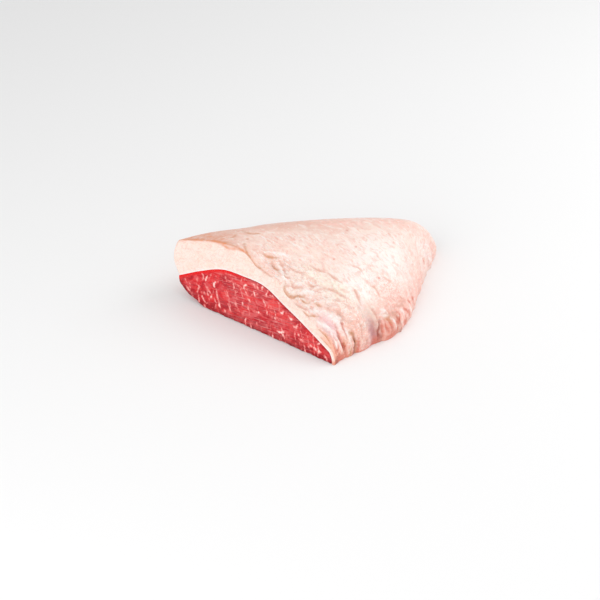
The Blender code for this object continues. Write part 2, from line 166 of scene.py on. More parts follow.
# Creases, ridges and spots seen on the skin, by tint: half width, depth (below zero for a ridge),
# and the line in plan as (along, behind). A line of one point is a spot. A plain one has no tint.
CREASES = {
    "brown": (
        (1.2, 0.5, ((13, 12), (28, 0.5), (36, 0), (41, 2), (50, 1.5), (56, 1.5))),
        # Painted shadow under the flap.
        (1.2, 0.6, ((34, 16), (39, 18), (47, 24))),
        (1.5, 0.8, ((47, 15.5), (52, 15), (57, 16.5))),
        (1.8, 1.1, ((69, 6), (72, 1), (76, 0), (80, 2.5), (83, 8), (88, 13))),
        (1.0, 0.6, ((87, 8), (93, 9.5), (96, 11.5))),
        (1.1, 0.7, ((100, 13), (107, 14.5))),
        (1.1, 0.6, ((96, 0.5), (102, 1.5), (105, 5), (109, 8))),
        (1.5, 0.3, ((-8, 15), (-5, 20), (-5, 27))),
        (1.5, 0.3, ((-7, 38), (6, 36.5), (14, 43))),
        (1.0, 0.6, ((116, 0.5), (123, 1.5), (130, 1))),
        (1.1, 0.8, ((137, 16.5), (138.5, 21), (141.5, 22.5), (144, 23))),
        (1.1, 0.3, ((142.5, 22.5), (145, 23.5), (147, 23))),
        (0.9, 0.4, ((146, 54), (148, 58), (151, 64))),
        (1.0, 0.5, ((147.5, 55), (150, 58.5), (152.5, 61.5))),
        (1.0, 0.5, ((136, 13.5), (138.5, 13), (140, 11.5))),
        (1.3, 0.3, ((142.5, 17.5), (144.5, 17.5), (146.5, 16.5))),
        (0.9, 0.2, ((-60, 1), (-45, 1), (-34, 1))),
        (1.1, 0.3, ((-24, 1), (-10, 0.5), (4, 1), (12, 2.5))),
        (0.8, 0.2, ((-14, 4), (-4, 4), (5, 6))),
        (1.6, 0.3, ((13, 12.5),)),
        (1.4, 0.3, ((9.5, 24),)),
    ),
    # Ridges with a painted highlight along their tops.
    "pale": (
        (1.1, -0.3, ((35, 19), (40, 25), (50, 32), (59, 31))),
        (1.6, -0.7, ((50, 19), (58, 15), (66, 9), (70, 8))),
        (1.3, -0.7, ((73, 14), (77, 15), (81, 20))),
        (1.5, -0.8, ((84, 12), (89, 17), (95, 19))),
        (1.4, -0.7, ((96, 8), (101, 7), (106, 11))),
        (0.8, -0.4, ((143.5, 54), (146, 60))),
        (0.8, -0.4, ((145.5, 52), (148.5, 60))),
        (1.7, -0.7, ((110, 4.5), (117.5, 6), (125, 8))),
        (1.9, -0.9, ((109, 12.5), (117, 14.5), (126.5, 15), (132, 15))),
        (1.2, -0.7, ((131, 18), (136.5, 18), (142, 18))),
        (1.4, -0.6, ((128, 9), (134, 9.5), (139, 9))),
        (0.9, -0.4, ((129.5, 6.5), (133.5, 6), (135, 5.5))),
        (0.9, -0.4, ((121, 8), (125.5, 7), (128.5, 6.5))),
        (1.0, -0.5, ((114.5, 8), (119.5, 7.5), (124.5, 8.5), (130.5, 11.5))),
        (1.0, -0.5, ((145, 53.5), (146, 59), (147.5, 60.5))),
        (1.0, -0.5, ((150, 78.5), (151.5, 82), (153.5, 83))),
        (1.0, -0.5, ((150, 61), (153.5, 66.5), (155.5, 67))),
        (0.9, -0.4, ((149.5, 95), (150.5, 98.5))),
    ),
    "shade": (
        (1.2, 0.6, ((43, 17.5), (49, 16))),
        (1.4, 0.8, ((52, 22), (58, 18.5), (65, 14.5))),
        (1.6, 0.8, ((62, 11.5), (66, 12), (70, 14))),
        (1.4, 0.9, ((71, 11.5), (76, 10), (79, 13), (83, 17))),
        (1.2, 0.7, ((83, 0), (88, 1), (95, 4), (101, 11))),
        (1.9, 0.8, ((111, 15.5), (117, 16))),
        (1.2, 0.35, ((95, 23), (101, 27), (108, 29), (118, 30), (125, 32))),
        (1.2, 0.6, ((75, 36.5), (85, 37), (92, 39.5))),
        (1.2, 0.6, ((94, 40), (102, 39), (111, 39))),
        (1.3, 0.6, ((127, 60), (132.5, 63), (138, 61.5))),
        (1.1, 0.5, ((127, 79), (132, 82.5), (136, 85))),
        (1.6, 0.5, ((120, 43), (127, 41), (133, 40))),
        (1.1, 0.5, ((103, 65.5), (108, 68.5), (114, 67.5))),
        (1.1, 0.7, ((129, 4.5), (133.5, 5), (138, 5))),
        (1.0, 0.6, ((137, 28.5), (142, 29.5), (145, 28.5))),
        (0.8, 0.2, ((144, 84), (146, 89))),
        (0.9, 0.4, ((142.5, 72), (145.5, 76.5))),
        (1.1, 0.5, ((62.5, 22.5), (70.5, 23), (77, 27))),
        (1.1, 0.5, ((82, 20.5), (89, 22.5), (93.5, 26))),
        (1.0, 0.5, ((117, 19), (124, 20.5), (129, 20.5))),
        (1.1, 0.6, ((149, 65.5), (152, 71), (155, 73.5))),
        (1.0, 0.4, ((147, 82), (150.5, 87))),
        (1.2, 0.6, ((139, 47.5), (143.5, 49.5), (147, 50))),
        (0.9, 0.4, ((145.5, 54), (147, 58.5), (149.5, 64), (152.5, 69))),
        (0.9, 0.4, ((148, 70.5), (148.5, 78), (149.5, 86), (151, 87.5))),
        (0.9, 0.3, ((147, 75.5), (146.5, 84), (147.5, 91.5))),
    ),
    "red": (
        (1.3, 1.1, ((125, 13.5), (130, 12), (135, 11.5), (139, 12.5), (143, 13.5))),
        (1.3, 1.0, ((127, 18), (132.5, 17), (137, 17))),
        (0.9, 0.5, ((148.5, 54.5), (151.5, 54.5), (154, 57.5))),
        (0.9, 0.5, ((151, 58), (153.5, 60), (155, 60))),
        (0.8, 0.2, ((153, 70.5), (156, 70), (156, 63.5), (154.5, 54.5))),
        (1.2, 0.4, ((138, 2), (141, 8), (142.5, 12))),
        (0.9, 0.5, ((136.5, 3.5), (135.5, 7), (134, 7.5))),
        (0.8, 0.2, ((146.5, 94), (148, 98))),
        (0.8, 0.2, ((151, 90.5), (151.5, 95))),
        (0.9, 0.5, ((131, 3.5), (134, 3), (137, 2.5))),
        (1.0, 0.6, ((132, 9), (135.5, 9), (138, 9))),
        (0.9, 0.4, ((137, 5), (140, 6))),
        (1.0, 0.6, ((148, 52), (150, 52), (152, 52), (153.5, 52.5))),
        (1.1, 0.5, ((149.5, 57), (152, 59), (154.5, 61), (155, 59))),
        (1.0, 0.5, ((150.5, 72), (152.5, 75.5), (154.5, 72.5), (154, 68))),
        (0.8, 0.2, ((150, 84), (151.5, 90.5), (152, 94))),
        (0.8, 0.3, ((153, 84), (154, 85.5), (155.5, 80))),
        (1.3, 0.2, ((144, 25.5), (146, 25.5), (148, 25))),
        (0.9, 0.3, ((150, 39), (151.5, 44), (153, 49))),
        (1.0, 0.2, ((87, 59),)),
        (1.0, 0.2, ((89, 91),)),
        (1.0, 0.2, ((66, 108),)),
        (1.1, 0.3, ((144.5, 107),)),
        (1.0, 0.2, ((127, 75),)),
        (1.2, 0.3, ((153.5, 71.5),)),
        (1.0, 0.2, ((120, 156),)),
    ),
    "plain": (
        (1.5, -0.6, ((135, 44), (141, 45), (145, 45.5), (148.5, 45))),
    ),
    # Painted shade in the deepest creases and pits.
    "dark": (
        (1.1, 0.8, ((147, 51.5), (150, 49.5), (151, 47), (153.5, 51))),
        (1.7, 0.4, ((138.5, 1), (139.5, 2), (140, 3.5))),
        (1.0, 0.5, ((150.5, 47.5), (151.5, 47.5), (152.5, 48.5))),
        (1.2, 0.5, ((143, 22.5), (144.5, 22), (145.5, 20.5))),
    ),
}

# A crease has a low lip on each side. Its line is a curve of short steps that thins out at its ends.
CREASE_STEPS = 40
CREASE_LIP = 0.45
LIP_WIDTH = 2.2
LINE_ENDS = (0.08, 0.92)
LINE_FULLNESS = 0.6
THIN_END = 0.4
FAR_AWAY = 99.0

# Soft spots of tint on the skin: middle (along, behind), half length, half width, turn in degrees,
# strength.
SPOTS = {
    "ball": ((153, 60, 11, 8, 0, 1.0),),
    "loops": ((140, 76, 17, 15, 0, 1.0),),
    "valley": ((142, 40, 15, 7, 12, 1.0),),
    # Painted shade at the foot of the valley.
    "mauve": ((149.5, 43, 4.5, 3.5, 0, 1.1),),
    "pink": (
        (124, 9, 13, 6, 0, 0.9), (151, 84, 8, 14, 0, 0.6), (78, 62, 36, 18, 45, 0.15),
        (139, 27, 9, 8, 0, 0.5), (151, 98, 6, 14, 0, 0.4), (138, 127, 30, 5, 115, 0.55),
    ),
    "peach": ((155, 88, 5, 12, 0, 0.3),),
    "tip_orange": ((139, 5, 9, 12, 0, 0.7), (130, 1, 9, 4, 0, 0.9)),
    # Painted shade on the top at the left, where the dome turns away from the light.
    "dome_shade": ((40, 88, 46, 30, 45, 0.36), (30, 114, 18, 8, 50, 0.35)),
    # Paler skin on the top, partly its own paler tone and partly a painted highlight where the light falls
    # broadly.
    "pale_zone": (
        (113, 108, 30, 32, 20, 1.0), (118, 62, 20, 22, 10, 0.8), (80, 88, 34, 28, 30, 0.2),
        (126, 42, 16, 9, 10, 0.8), (143, 47, 8, 7, 0, 0.55), (148, 80, 8, 12, 0, 0.55),
        (115, 171, 11, 16, 0, 1.0), (106, 22, 8, 6, 0, 0.5), (114, 42, 14, 7, 8, 0.7),
    ),
    "yellow": ((112, 32, 15, 7, 8, 1.0), (84, 30, 12, 8, 10, 0.7)),
    "green": ((140, 38.5, 7.5, 3.2, 20, 1.0), (142, 46, 8, 3, 8, 0.7)),
    # The bluish lilac in the valley is painted shade; the spot near the tip is the skin's own lilac tint.
    "lilac": ((146, 40, 9, 4, 12, 0.55), (121, 9, 12, 5, 0, 0.9)),
    "wet": ((120, 12, 14, 8, 0, 0.7),),
}
SPOT_TINTS = ("tip_orange", "pale_zone", "yellow", "mauve", "green", "lilac")

# Where the kinds of skin begin and end: heights, distances from a side, and places along the cut or
# behind it.
OFF_TABLE = (0.0, 4.0)
NEAR_FRONT = (0.0, 30.0)
TIP_BEHIND = (62.0, 82.0)
CRUMPLED_ALONG = (18.0, 44.0)
CRUMPLED_BEHIND = (22.0, 48.0)
PAST_RIM = (0.0, 5.0)
FIBRE_BEHIND = (0.0, 4.0)
LEFT_ALONG = (6.0, 52.0)
LEFT_FADE = 17.0
BACK_SIDE = (0.0, 30.0)
OVER_BACK = (30.0, 56.0)
BACK_SHADE = (45.0, 140.0)
BACK_BLUSH = (70.0, 120.0)
FAR_EDGE_BEHIND = (56.0, 86.0)
FAR_EDGE_WIDTH = 15.0
FOLD_DEPTH = 2.6
FOLD_REACH = (0.0, 24.0)
RIM_LINE_ALONG = (18.0, 32.0)
RIM_LINE_WIDTH = 3.2
RIM_BAND_ALONG = (-24.0, 10.0)
RIM_BAND_WIDTH = 24.0
PINK_BEHIND = (130.0, 156.0)
PEACH_REACH = (6.0, 30.0)
# Painted shade on the skin near the table: its height, and where it fades toward the far end.
TABLE_SHADE_HEIGHT = 6.0
TABLE_SHADE_BEHIND = (46.0, 68.0)
TURNED_BACK = (20.0, 70.0)
TURNED_ALONG = (60.0, 110.0)

# A small step in the rim, where its brown line runs lower.
STEP_PLACE = 4.0
STEP_HALF_LENGTH = 9.0
STEP_DROP = 3.2

# The fat's cut face: skin colours at the tip, painted shade at its foot near the table, the dry brown line at
# the left, and the power by which its rows close up toward the rim.
CUT_WETNESS = 0.1
CUT_TIP = (108.0, 126.0)
CUT_LEFT = (16.0, 28.0)
CUT_SKIN = (2.2, 3.6)
CUT_FOOT = (1.5, 5.5)
CUT_BROWN = 3.2
CUT_BROWN_WIDTH = 0.8
RIM_BLUR = 1.4
RIM_LINE_BLUR = 0.9
ROWS_TO_RIM = 1.15

# The clearest flecks of fat in the cut face: strength, and the line as (along, below the seam).
FLECKS = (
    (0.5, ((-29, 3.5), (-27, 6.5), (-27, 11), (-24, 15), (-25, 18.5), (-23, 22), (-22, 26))),
    (1.0, ((-16, 5.5), (-17, 7.5), (-17, 10))),
    (0.6, ((-17, 13), (-14, 17), (-10, 21), (-7, 25))),
    (0.9, ((-8.5, 23.5), (-8, 25), (-6.5, 26.5))),
    (1.0, ((-5, 11), (-7, 13.5), (-5, 16.5))),
    (0.6, ((-5, 16.5), (-2, 21), (0, 26.5), (3, 30))),
    (0.9, ((2, 29.5), (3, 31.5), (5, 34))),
    (0.6, ((8, 17.5), (11, 21.5), (13, 24.5))),
    (0.5, ((9, 34.5), (12, 37))),
    (0.4, ((15, 13), (19, 16), (22, 21))),
    (0.5, ((19, 24.5), (23, 27.5), (26, 30))),
    (1.0, ((31, 6), (28, 8), (28, 10.5))),
    (0.6, ((28, 10.5), (31, 13), (35, 15.5))),
    (0.6, ((35, 3.5), (40, 4.5), (40, 7.5))),
    (0.6, ((43, 1), (42, 3.5), (45, 6))),
    (0.8, ((34, 17.5), (36.5, 18), (38, 20))),
    (0.7, ((49, 11.5), (53, 12.5), (56, 16))),
    (0.6, ((56, 16), (58, 18.5), (59, 21))),
    (0.6, ((58, 3.5), (63, 1.5))),
    (0.5, ((66, 3), (72, 2.5))),
    (0.75, ((71.5, 8.5), (74.5, 7.5), (76, 4.5))),
    (0.7, ((81, 4.5), (84, 5.5), (88.5, 4))),
    (0.75, ((88.5, 9), (92, 8), (94, 3.5))),
    (0.6, ((66, 17), (70, 17))),
    (0.9, ((72, 24.5), (77, 23), (81.5, 18.5))),
    (0.7, ((78, 23.5), (82, 23.5))),
    (0.6, ((77, 20.5), (79, 24))),
    (0.6, ((95, 11), (98, 12))),
    (0.6, ((97, 14.5), (105, 11))),
    (0.5, ((107, 12), (111, 13))),
    (0.9, ((114, 9.5), (116, 8.5), (118.5, 9))),
    (0.9, ((120, 10), (121, 7.5), (123.5, 6.5))),
    (0.6, ((126, 7.5), (128.5, 6.5), (131, 7))),
    (0.7, ((109, 8.5), (111, 10), (112.5, 9.5))),
    (0.6, ((118, 4.5), (119.5, 6), (119, 8))),
    (0.5, ((29, 30), (33, 32.5))),
    (0.4, ((25, 2.5), (30, 2.5))),
    (0.4, ((-19, 19), (-14, 23))),
    (0.6, ((-23, 23.5), (-21, 29))),
    (0.35, ((-1, 2), (10, 3.5), (21, 3.5))),
    (0.4, ((6, 8.5), (16, 9), (27, 10.5), (39, 7.5))),
    (0.35, ((28, 14.5), (38, 12.5), (48, 8.5))),
    (0.35, ((57, 13.5), (65, 9.5))),
    (0.35, ((61, 19.5), (68, 16), (75, 14))),
    (0.35, ((39, 25.5), (47, 25), (56, 22.5))),
    (0.35, ((20, 30), (30, 31.5))),
    (0.7, ((48, 23.5), (50, 24.5))),
    (0.5, ((48, 33), (50, 35))),
    (0.5, ((-13, 30), (-11, 31))),
)
FLECK_HALF_WIDTH = 1.2

# The fainter flecks, drawn by lot: dashes in rows that slant down the cut and bend near the seam,
# and loose flecks between them. Places and lengths are in millimetres.
FLECK_SEED = 11
ROWS_ALONG = (-80.0, 150.0)
ROW_SHIFT = 0.25
ROW_SLANT = (0.35, 0.85)
ROW_BEND = (2.0, 7.0)
BEND_DEPTH = 4.0
FIRST_DROP = (2.5, 8.0)
LAST_DROP = 46.0
DASH_HALF_LENGTH = (1.6, 4.4)
DASH_HALF_WIDTH = (0.8, 1.3)
DASH_STRENGTHS = (0.72, 0.5, 0.4, 0.32, 0.24, 0.18)
DASH_SHIFT = 0.9
DASH_TURN = 0.3
DASH_CURVE = 0.08
DASH_STEP = (1.4, 2.4)
DASH_GAP = 1.6
LOOSE_ALONG = (-50.0, 135.0)
LOOSE_DROP = (2.0, 36.0)
LOOSE_TURN = (-2.5, 2.5)
LOOSE_HALF_LENGTH = (0.8, 2.2)
LOOSE_HALF_WIDTH = 0.9
LOOSE_STRENGTH = (0.15, 0.32)

# The lean's cut face: where its tints lie, and how its rounded foot wavers: share of its
# radius, radians to a millimetre, start.
FLECK_FADE = (0.0, 1.5)
GRAIN_FADE = (0.0, 2.0)
SEAM_GLOW = (1.02, 4.42)
SEAM_TO_TIP = (4.0, 44.0)
TIP_SEAM_FADE = 1.4
FOOT_SHADE = 4.5
SHINE_START = (-12.0, 22.0)
SHINE_END = (84.0, 114.0)
FOOT_WAVES = ((0.3, 0.23, 1.0), (0.3, 0.41, 0.0), (0.2, 0.97, 0.0))

# Grid cells of the outer skin and of the surfaces that lie against something.
SKIN_ROWS = 220
SKIN_COLUMNS = 270
HIDDEN_ROWS = 56
HIDDEN_COLUMNS = 66
CELL_GROWTH_AT_FAR_END = 0.16
CELL_GROWTH_AT_BACK = 0.10
CELL_GROWTH_AT_FRONT = 0.14
OUTLINE_STEPS = 160
FAT_CUT_ROWS = 26
LEAN_CUT_ROWS = 64
LEAN_COLUMNS = 360
LEAN_UNDER_ROWS = 70
POINTS_AT_A_TIME = 4000

# Rounded edges of the cut face, and the distances behind it over which they fade out.
RIM_ROUNDING = 0.8
RIM_FADE = 6.0
LEAN_CUT_ROUNDING = 1.4
FOOT_FADE = 8.0

# The fat along the seam: width of its pale edge, and how far it comes down over the lean.
WHITE_EDGE = 0.7
SEAM_COVER = 0.2

# How the grain of the lean rises along the cut, and how the dashes of the skin are turned.
GRAIN_RISE = 0.08
FRONT_DASH_TURN = math.radians(-19.0)
BACK_DASH_TURN = math.radians(42.0)

# Finish of a mesh: the angle from which an edge is sharp, and in metres the distance at which
# points are joined and the width below which a sliver goes.
SHARP_EDGE_ANGLE = math.radians(42.0)
MERGE_DISTANCE = 2e-6
SLIVER_WIDTH = 1e-6

# Values of each shader that are the same all over.
FAT_SHADER = {
    "Coat Roughness": 0.14,
    "Specular IOR Level": 0.35,
    "Subsurface Weight": 0.15,
    "Subsurface Radius": (1.0, 0.42, 0.30),
    "Subsurface Scale": 0.003,
}
LEAN_SHADER = {
    "Coat Roughness": 0.1,
    "Specular IOR Level": 0.2,
    "Subsurface Weight": 0.08,
    "Subsurface Radius": (1.0, 0.12, 0.10),
    "Subsurface Scale": 0.002,
}
BUMP_DISTANCE = 0.0006
BUMP_STRENGTH = 0.7

# Patterns that follow the piece: cells to a millimetre along, behind and up, detail, distortion.
BLOTCHES = ((0.11, 0.16, 0.16), 4.0, 0.8)
SPECKS = ((0.5, 0.7, 0.7), 3.0, 0.4)
NET = ((0.20, 0.24, 0.24), 2.0, 1.2)
FLAPS = ((0.10, 0.22, 0.22), 1.0, 1.0)
VEINS = ((0.11, 0.11, 0.20), 4.0, 1.4)
GRAIN = ((0.05, 0.10, 0.55), 4.0, 0.5)
FIBRES = ((0.10, 0.3, 0.85), 3.0, 0.6)
RED_PATCHES = ((0.11, 0.2, 0.16), 3.0, 1.0)
SHEEN_LINES = ((0.08, 0.3, 0.90), 2.0, 0.7)

# Patterns that are the same in every direction: cells to a metre.
SKIN_CLOUDS = 26.0
DASH_PATCHES = 70.0
PORES = 900.0
LEAN_CLOUDS = 55.0
GRIT = 420.0
WET_PATCHES = 90.0

# Tints with ragged edges, in the order in which they are laid on: colour, mask, size of the notches
# in metres, raggedness, share. The streaks of the skin lie between the two lists.
UNDER_TINTS = (
    # Brown dried skin at the rim, with the painted shade of the back side and the top at the left.
    ("brown_skin_and_shade", "brown_zone", 0.008, 0.7, 0.8),
    ("pink", "pink", 0.006, 0.9, 0.8),
    ("peach", "peach", 0.007, 0.7, 0.7),
    ("yellow", "yellow", 0.006, 0.5, 0.9),
)
OVER_TINTS = (
    ("tip_orange", "tip_orange", 0.005, 0.6, 0.8),
    ("low_edge", "low_edge", 0.004, 0.6, 0.85),
    ("lobe", "ball", 0.004, 0.4, 0.85),
    ("green", "green", 0.004, 0.3, 0.8),
    ("lilac", "lilac", 0.004, 0.3, 0.85),
    ("mauve", "mauve", 0.004, 0.4, 0.85),
    ("fold", "fold", 0.003, 0.5, 0.8),
    ("shade_line", "shade", 0.003, 0.6, 0.8),
    ("brown_crease_and_shadow", "brown", 0.003, 0.8, 0.85),
    ("red_line", "red", 0.003, 0.5, 0.8),
    ("deep_crease_shade", "dark", 0.003, 0.4, 0.9),
    ("pale", "pale", 0.003, 0.7, 0.75),
    ("rim_line", "rim_line", 0.005, 1.4, 0.9),
)


def smooth_through(places, values, at):
    """Cubic curve through the values at their places, read at other places."""
    places = np.asarray(places, float)
    values = np.asarray(values, float)
    slopes = np.gradient(values, places, axis=0)
    i = np.clip(np.searchsorted(places, at, side="right") - 1, 0, len(places) - 2)
    span = places[i + 1] - places[i]
    u = np.clip((at - places[i]) / span, 0.0, 1.0)
    if values.ndim > 1:
        span = span[..., None]
        u = u[..., None]
    start = (1 + 2 * u) * (1 - u) ** 2
    leave = u * (1 - u) ** 2 * span
    end = u * u * (3 - 2 * u)
    arrive = -u * u * (1 - u) * span
    return start * values[i] + leave * slopes[i] + end * values[i + 1] + arrive * slopes[i + 1]


def along_outline(points, at):
    """The point at a share of the length of a smooth outline."""
    points = np.array(points, float)
    steps = np.linalg.norm(np.diff(points, axis=0), axis=1)
    run = np.concatenate([[0.0], np.cumsum(steps)])
    return smooth_through(run / run[-1], points, at)


def ease(x):
    """Rises smoothly from 0 to 1."""
    x = np.clip(x, 0.0, 1.0)
    return x * x * (3 - 2 * x)


def rises(x, start, end):
    """0 before the start, 1 past the end, and smooth between them."""
    return ease((x - start) / (end - start))


def falls(x, start, end):
    """1 before the start, 0 past the end, and smooth between them."""
    return 1 - rises(x, start, end)


def between(start, end, share):
    return start + (end - start) * share


def bell(x):
    return np.exp(-np.square(x))


def quarter_round(x):
    """Height share of a rounded edge at a share of its radius in from the outline."""
    x = np.clip(x, 0.0, 1.0)
    return np.sqrt(1 - (1 - x) ** 2)


def closing_up(count, low, high):
    """Grid places from 0 to 1 that close up toward the ends, so that a steep side gets its rows."""
    v = np.linspace(0.0, 1.0, count + 1)
    near = v * v / np.maximum(v + low, 1e-9)
    far = (1 - v) ** 2 / np.maximum(1 - v + high, 1e-9)
    return near / (near + far)


def grid_places(rows, columns):
    """Patch places of a grid: s from the cut to the far end, t from the back to the front side."""
    s = closing_up(rows, 0.0, CELL_GROWTH_AT_FAR_END)
    t = closing_up(columns, CELL_GROWTH_AT_BACK, CELL_GROWTH_AT_FRONT)
    return np.meshgrid(s, t, indexing="ij")


def in_plan(s, t):
    """The plan point at a place of the patch between the four sides."""
    s = np.asarray(s)[..., None]
    t = np.asarray(t)[..., None]
    corner = np.array(THICK_CORNER)
    tip = np.array(TIP)
    across = between(along_outline(BACK_EDGE, s[..., 0]), along_outline(FRONT_EDGE, s[..., 0]), t)
    lengthwise = between(between(corner, tip, t), along_outline(FAR_END, t[..., 0]), s)
    corners = between(between(corner, tip, t), between(np.array(FAR_CORNER), np.array(FRONT_BEND), t), s)
    return across + lengthwise - corners


def inner_place(s, t):
    """Patch place of the lean's grid, which is narrower by the fat around it."""
    cut = between(np.array(THICK_CORNER), np.array(TIP), np.asarray(t)[..., None])
    width = np.linalg.norm(along_outline(FRONT_EDGE, s) - along_outline(BACK_EDGE, s), axis=-1)
    length = np.linalg.norm(along_outline(FAR_END, t) - cut, axis=-1)
    back = FAT_AT_BACK / width
    front = between(FAT_AT_TIP, FAT_AT_FRONT, ease(s / TIP_FAT_GROWTH)) / width
    return s * (1 - FAT_AT_FRONT / length), back + t * (1 - back - front)


def outer_place(s, t):
    """Patch place of the fat's outer grid."""
    return s, t


def side_lines(place):
    """The back side, and the front side with the far end, of the grid with this placing."""
    share = np.linspace(0.0, 1.0, OUTLINE_STEPS)
    one = np.ones_like(share)
    back = in_plan(*place(share, 0 * one))
    front = in_plan(*place(share, one))
    far = in_plan(*place(one, share))
    return back[::-1], np.concatenate([front, far[::-1][1:]])


def distance_to(points, line):
    """Distance from each point to a line of points, and the way in from its nearest stretch."""
    start = line[:-1]
    step = line[1:] - start
    inward = np.stack([-step[:, 1], step[:, 0]], axis=-1)
    inward /= np.linalg.norm(inward, axis=-1, keepdims=True)
    flat = points.reshape(-1, 1, 2)
    distances = []
    nearest = []
    for first in range(0, len(flat), POINTS_AT_A_TIME):
        offset = flat[first:first + POINTS_AT_A_TIME] - start[None]
        share = np.clip((offset * step).sum(-1) / (step * step).sum(-1), 0.0, 1.0)
        away = offset - share[..., None] * step
        squared = (away * away).sum(-1)
        distances.append(np.sqrt(squared.min(axis=1)))
        nearest.append(inward[squared.argmin(axis=1)])
    distance = np.concatenate(distances).reshape(points.shape[:-1])
    return distance, np.concatenate(nearest).reshape(points.shape)


def dome(s, t):
    """Height of the top before its edges are rounded."""
    rim = smooth_through(RIM_ALONG, RIM_HEIGHT, between(THICK_CORNER[0], TIP[0], t))
    crest = CREST_HEIGHT - END_FALL * s ** END_FALL_POWER
    to_front = np.clip((t - CREST_PLACE) / (1 - CREST_PLACE), 0.0, 1.0)
    to_back = np.clip((CREST_PLACE - t) / CREST_PLACE, 0.0, 1.0)
    body = crest * (1 - FRONT_FALL * to_front ** 2 - BACK_FALL * to_back ** 2)
    return between(rim, body, ease(s / DOME_START))


def back_seam(s):
    """Height at which the fat ends on the back side."""
    return BACK_SEAM_HEIGHT * (1 - ease((s - BACK_SEAM_DROP) / (1 - BACK_SEAM_DROP)))


def folds(plan, from_front):
    """Relief of the folds and scallops that run in from the front side and far end."""
    behind = plan[..., 1] + FOLD_SLANT * from_front
    relief = np.zeros_like(behind)
    for place, half_width, height, reach in FOLDS:
        relief += height * bell((behind - place) / half_width) * (1 - ease(from_front / reach))
    relief *= between(FOLD_AT_TABLE, 1.0, ease(from_front / FOLD_RISE))
    past_folds = (plan[..., 1] - SCALLOP_START) / SCALLOP_LENGTH
    wave = np.cos(2 * math.pi * past_folds) + np.cos(2 * math.pi * SCALLOP_UNEVENNESS * past_folds)
    return relief + SCALLOP_HEIGHT / 2 * wave * ease(past_folds) * (1 - ease(from_front / SCALLOP_REACH))


def oval(plan, along, behind, half_length, half_width, turn):
    """Soft oval spot in plan, 1 in its middle, turned from the cut's direction by degrees."""
    turn = math.radians(turn)
    a = plan[..., 0] - along
    b = plan[..., 1] - behind
    lengthwise = (a * math.cos(turn) + b * math.sin(turn)) / half_length
    sideways = (b * math.cos(turn) - a * math.sin(turn)) / half_width
    return np.exp(-lengthwise ** 2 - sideways ** 2)


def crumples(plan):
    """Relief of the low rolls and dips on top."""
    relief = np.zeros(plan.shape[:-1])
    for along, behind, half_length, half_width, turn, height in CRUMPLES:
        relief += height * oval(plan, along, behind, half_length, half_width, turn)
    return relief


def grid_normals(points):
    """Unit normals of a grid of points, on its upper side."""
    normal = np.cross(np.gradient(points, axis=1), np.gradient(points, axis=0))
    if normal[..., 2].sum() < 0:
        normal = -normal
    normal[-1, -1] = normal[-2, -1] + normal[-1, -2]
    return normal / np.linalg.norm(normal, axis=-1, keepdims=True)


def near_line(plan, points, half_width):
    """Distance to a smooth line in half widths, and how full the line is there."""
    if len(points) > 1:
        line = along_outline(points, np.linspace(0.0, 1.0, CREASE_STEPS + 1))
        fullness = np.sin(math.pi * np.linspace(*LINE_ENDS, len(line))) ** LINE_FULLNESS
    else:
        line = np.array(points, float)
        fullness = np.ones(1)
    reach = 3 * LIP_WIDTH * half_width
    inside = np.all((plan > line.min(axis=0) - reach) & (plan < line.max(axis=0) + reach), axis=-1)
    squared = ((plan[inside][:, None] - line[None]) ** 2).sum(-1)
    nearest = squared.argmin(axis=1)
    distance = np.full(plan.shape[:-1], FAR_AWAY)
    full = np.zeros(plan.shape[:-1])
    thinned = half_width * between(THIN_END, 1.0, fullness[nearest])
    distance[inside] = np.sqrt(squared.min(axis=1)) / thinned
    full[inside] = fullness[nearest]
    return distance, full


def creases(plan):
    """Relief of the named creases and ridges, and a mask of each tint."""
    relief = np.zeros(plan.shape[:-1])
    tints = {}
    for tint, rows in CREASES.items():
        mask = np.zeros_like(relief)
        for half_width, depth, points in rows:
            distance, full = near_line(plan, points, half_width)
            lip = CREASE_LIP * (bell(distance / LIP_WIDTH) - bell(distance))
            relief += depth * full * (lip - bell(distance))
            mask = np.maximum(mask, full * bell(distance))
        if tint != "plain":
            tints[tint] = mask
    return relief, tints


def move_out(points, amount):
    """Moves a grid along its normals, with its first row kept on the cut and nothing below the table."""
    moved = points + grid_normals(points) * np.asarray(amount)[..., None]
    moved[0, :, 1] = 0.0
    moved[..., 2] = np.maximum(moved[..., 2], 0.0)
    return moved


def fat_outside(s, t):
    """Outer surface of the fat, as along, behind and height, with what its masks are made from."""
    plan = in_plan(s, t)
    back_line, front_line = side_lines(outer_place)
    from_back, _ = distance_to(plan, back_line)
    from_front, inward = distance_to(plan, front_line)
    near_far_end = ease((s - FAR_CORNER_START) / (1 - FAR_CORNER_START))
    full_radius = between(BACK_RADIUS, BACK_RADIUS_AT_FAR_END, near_far_end)
    back_radius = between(BACK_RADIUS_AT_CUT, full_radius, ease(s / BACK_RADIUS_GROWTH))
    front_radius = between(FRONT_RADIUS_AT_CUT, FRONT_RADIUS, ease(s / FRONT_RADIUS_GROWTH))
    back_rise = quarter_round(from_back / back_radius)
    front_rise = quarter_round(from_front / front_radius)
    seam_share = back_seam(s) / BACK_SEAM_HEIGHT
    low = (BACK_SEAM_HEIGHT + FAT_EDGE) * seam_share
    height = between(low, dome(s, t), back_rise) * front_rise
    to_lean = in_plan(*inner_place(s, 0 * t)) - in_plan(s, 0 * t)
    back_tuck = between(SIDE_TUCK / FAT_AT_BACK, 1.0, seam_share) * (1 - back_rise) ** 3
    front_tuck = SIDE_TUCK * ease(s / TUCK_GROWTH) * (1 - front_rise) ** 2
    tucked = plan + to_lean * back_tuck[..., None] + inward * front_tuck[..., None]
    surface = np.concatenate([tucked, height[..., None]], axis=-1)
    fold_relief = folds(plan, from_front)
    crease_relief, tints = creases(plan)
    soft_relief = crumples(plan) * ease(from_back / BACK_RADIUS) + crease_relief
    moved = move_out(surface, fold_relief + soft_relief)
    moved[-1, :, 2] = 0.0
    moved[:, -1, 2] = 0.0
    return moved, plan, from_back, from_front, fold_relief, tints


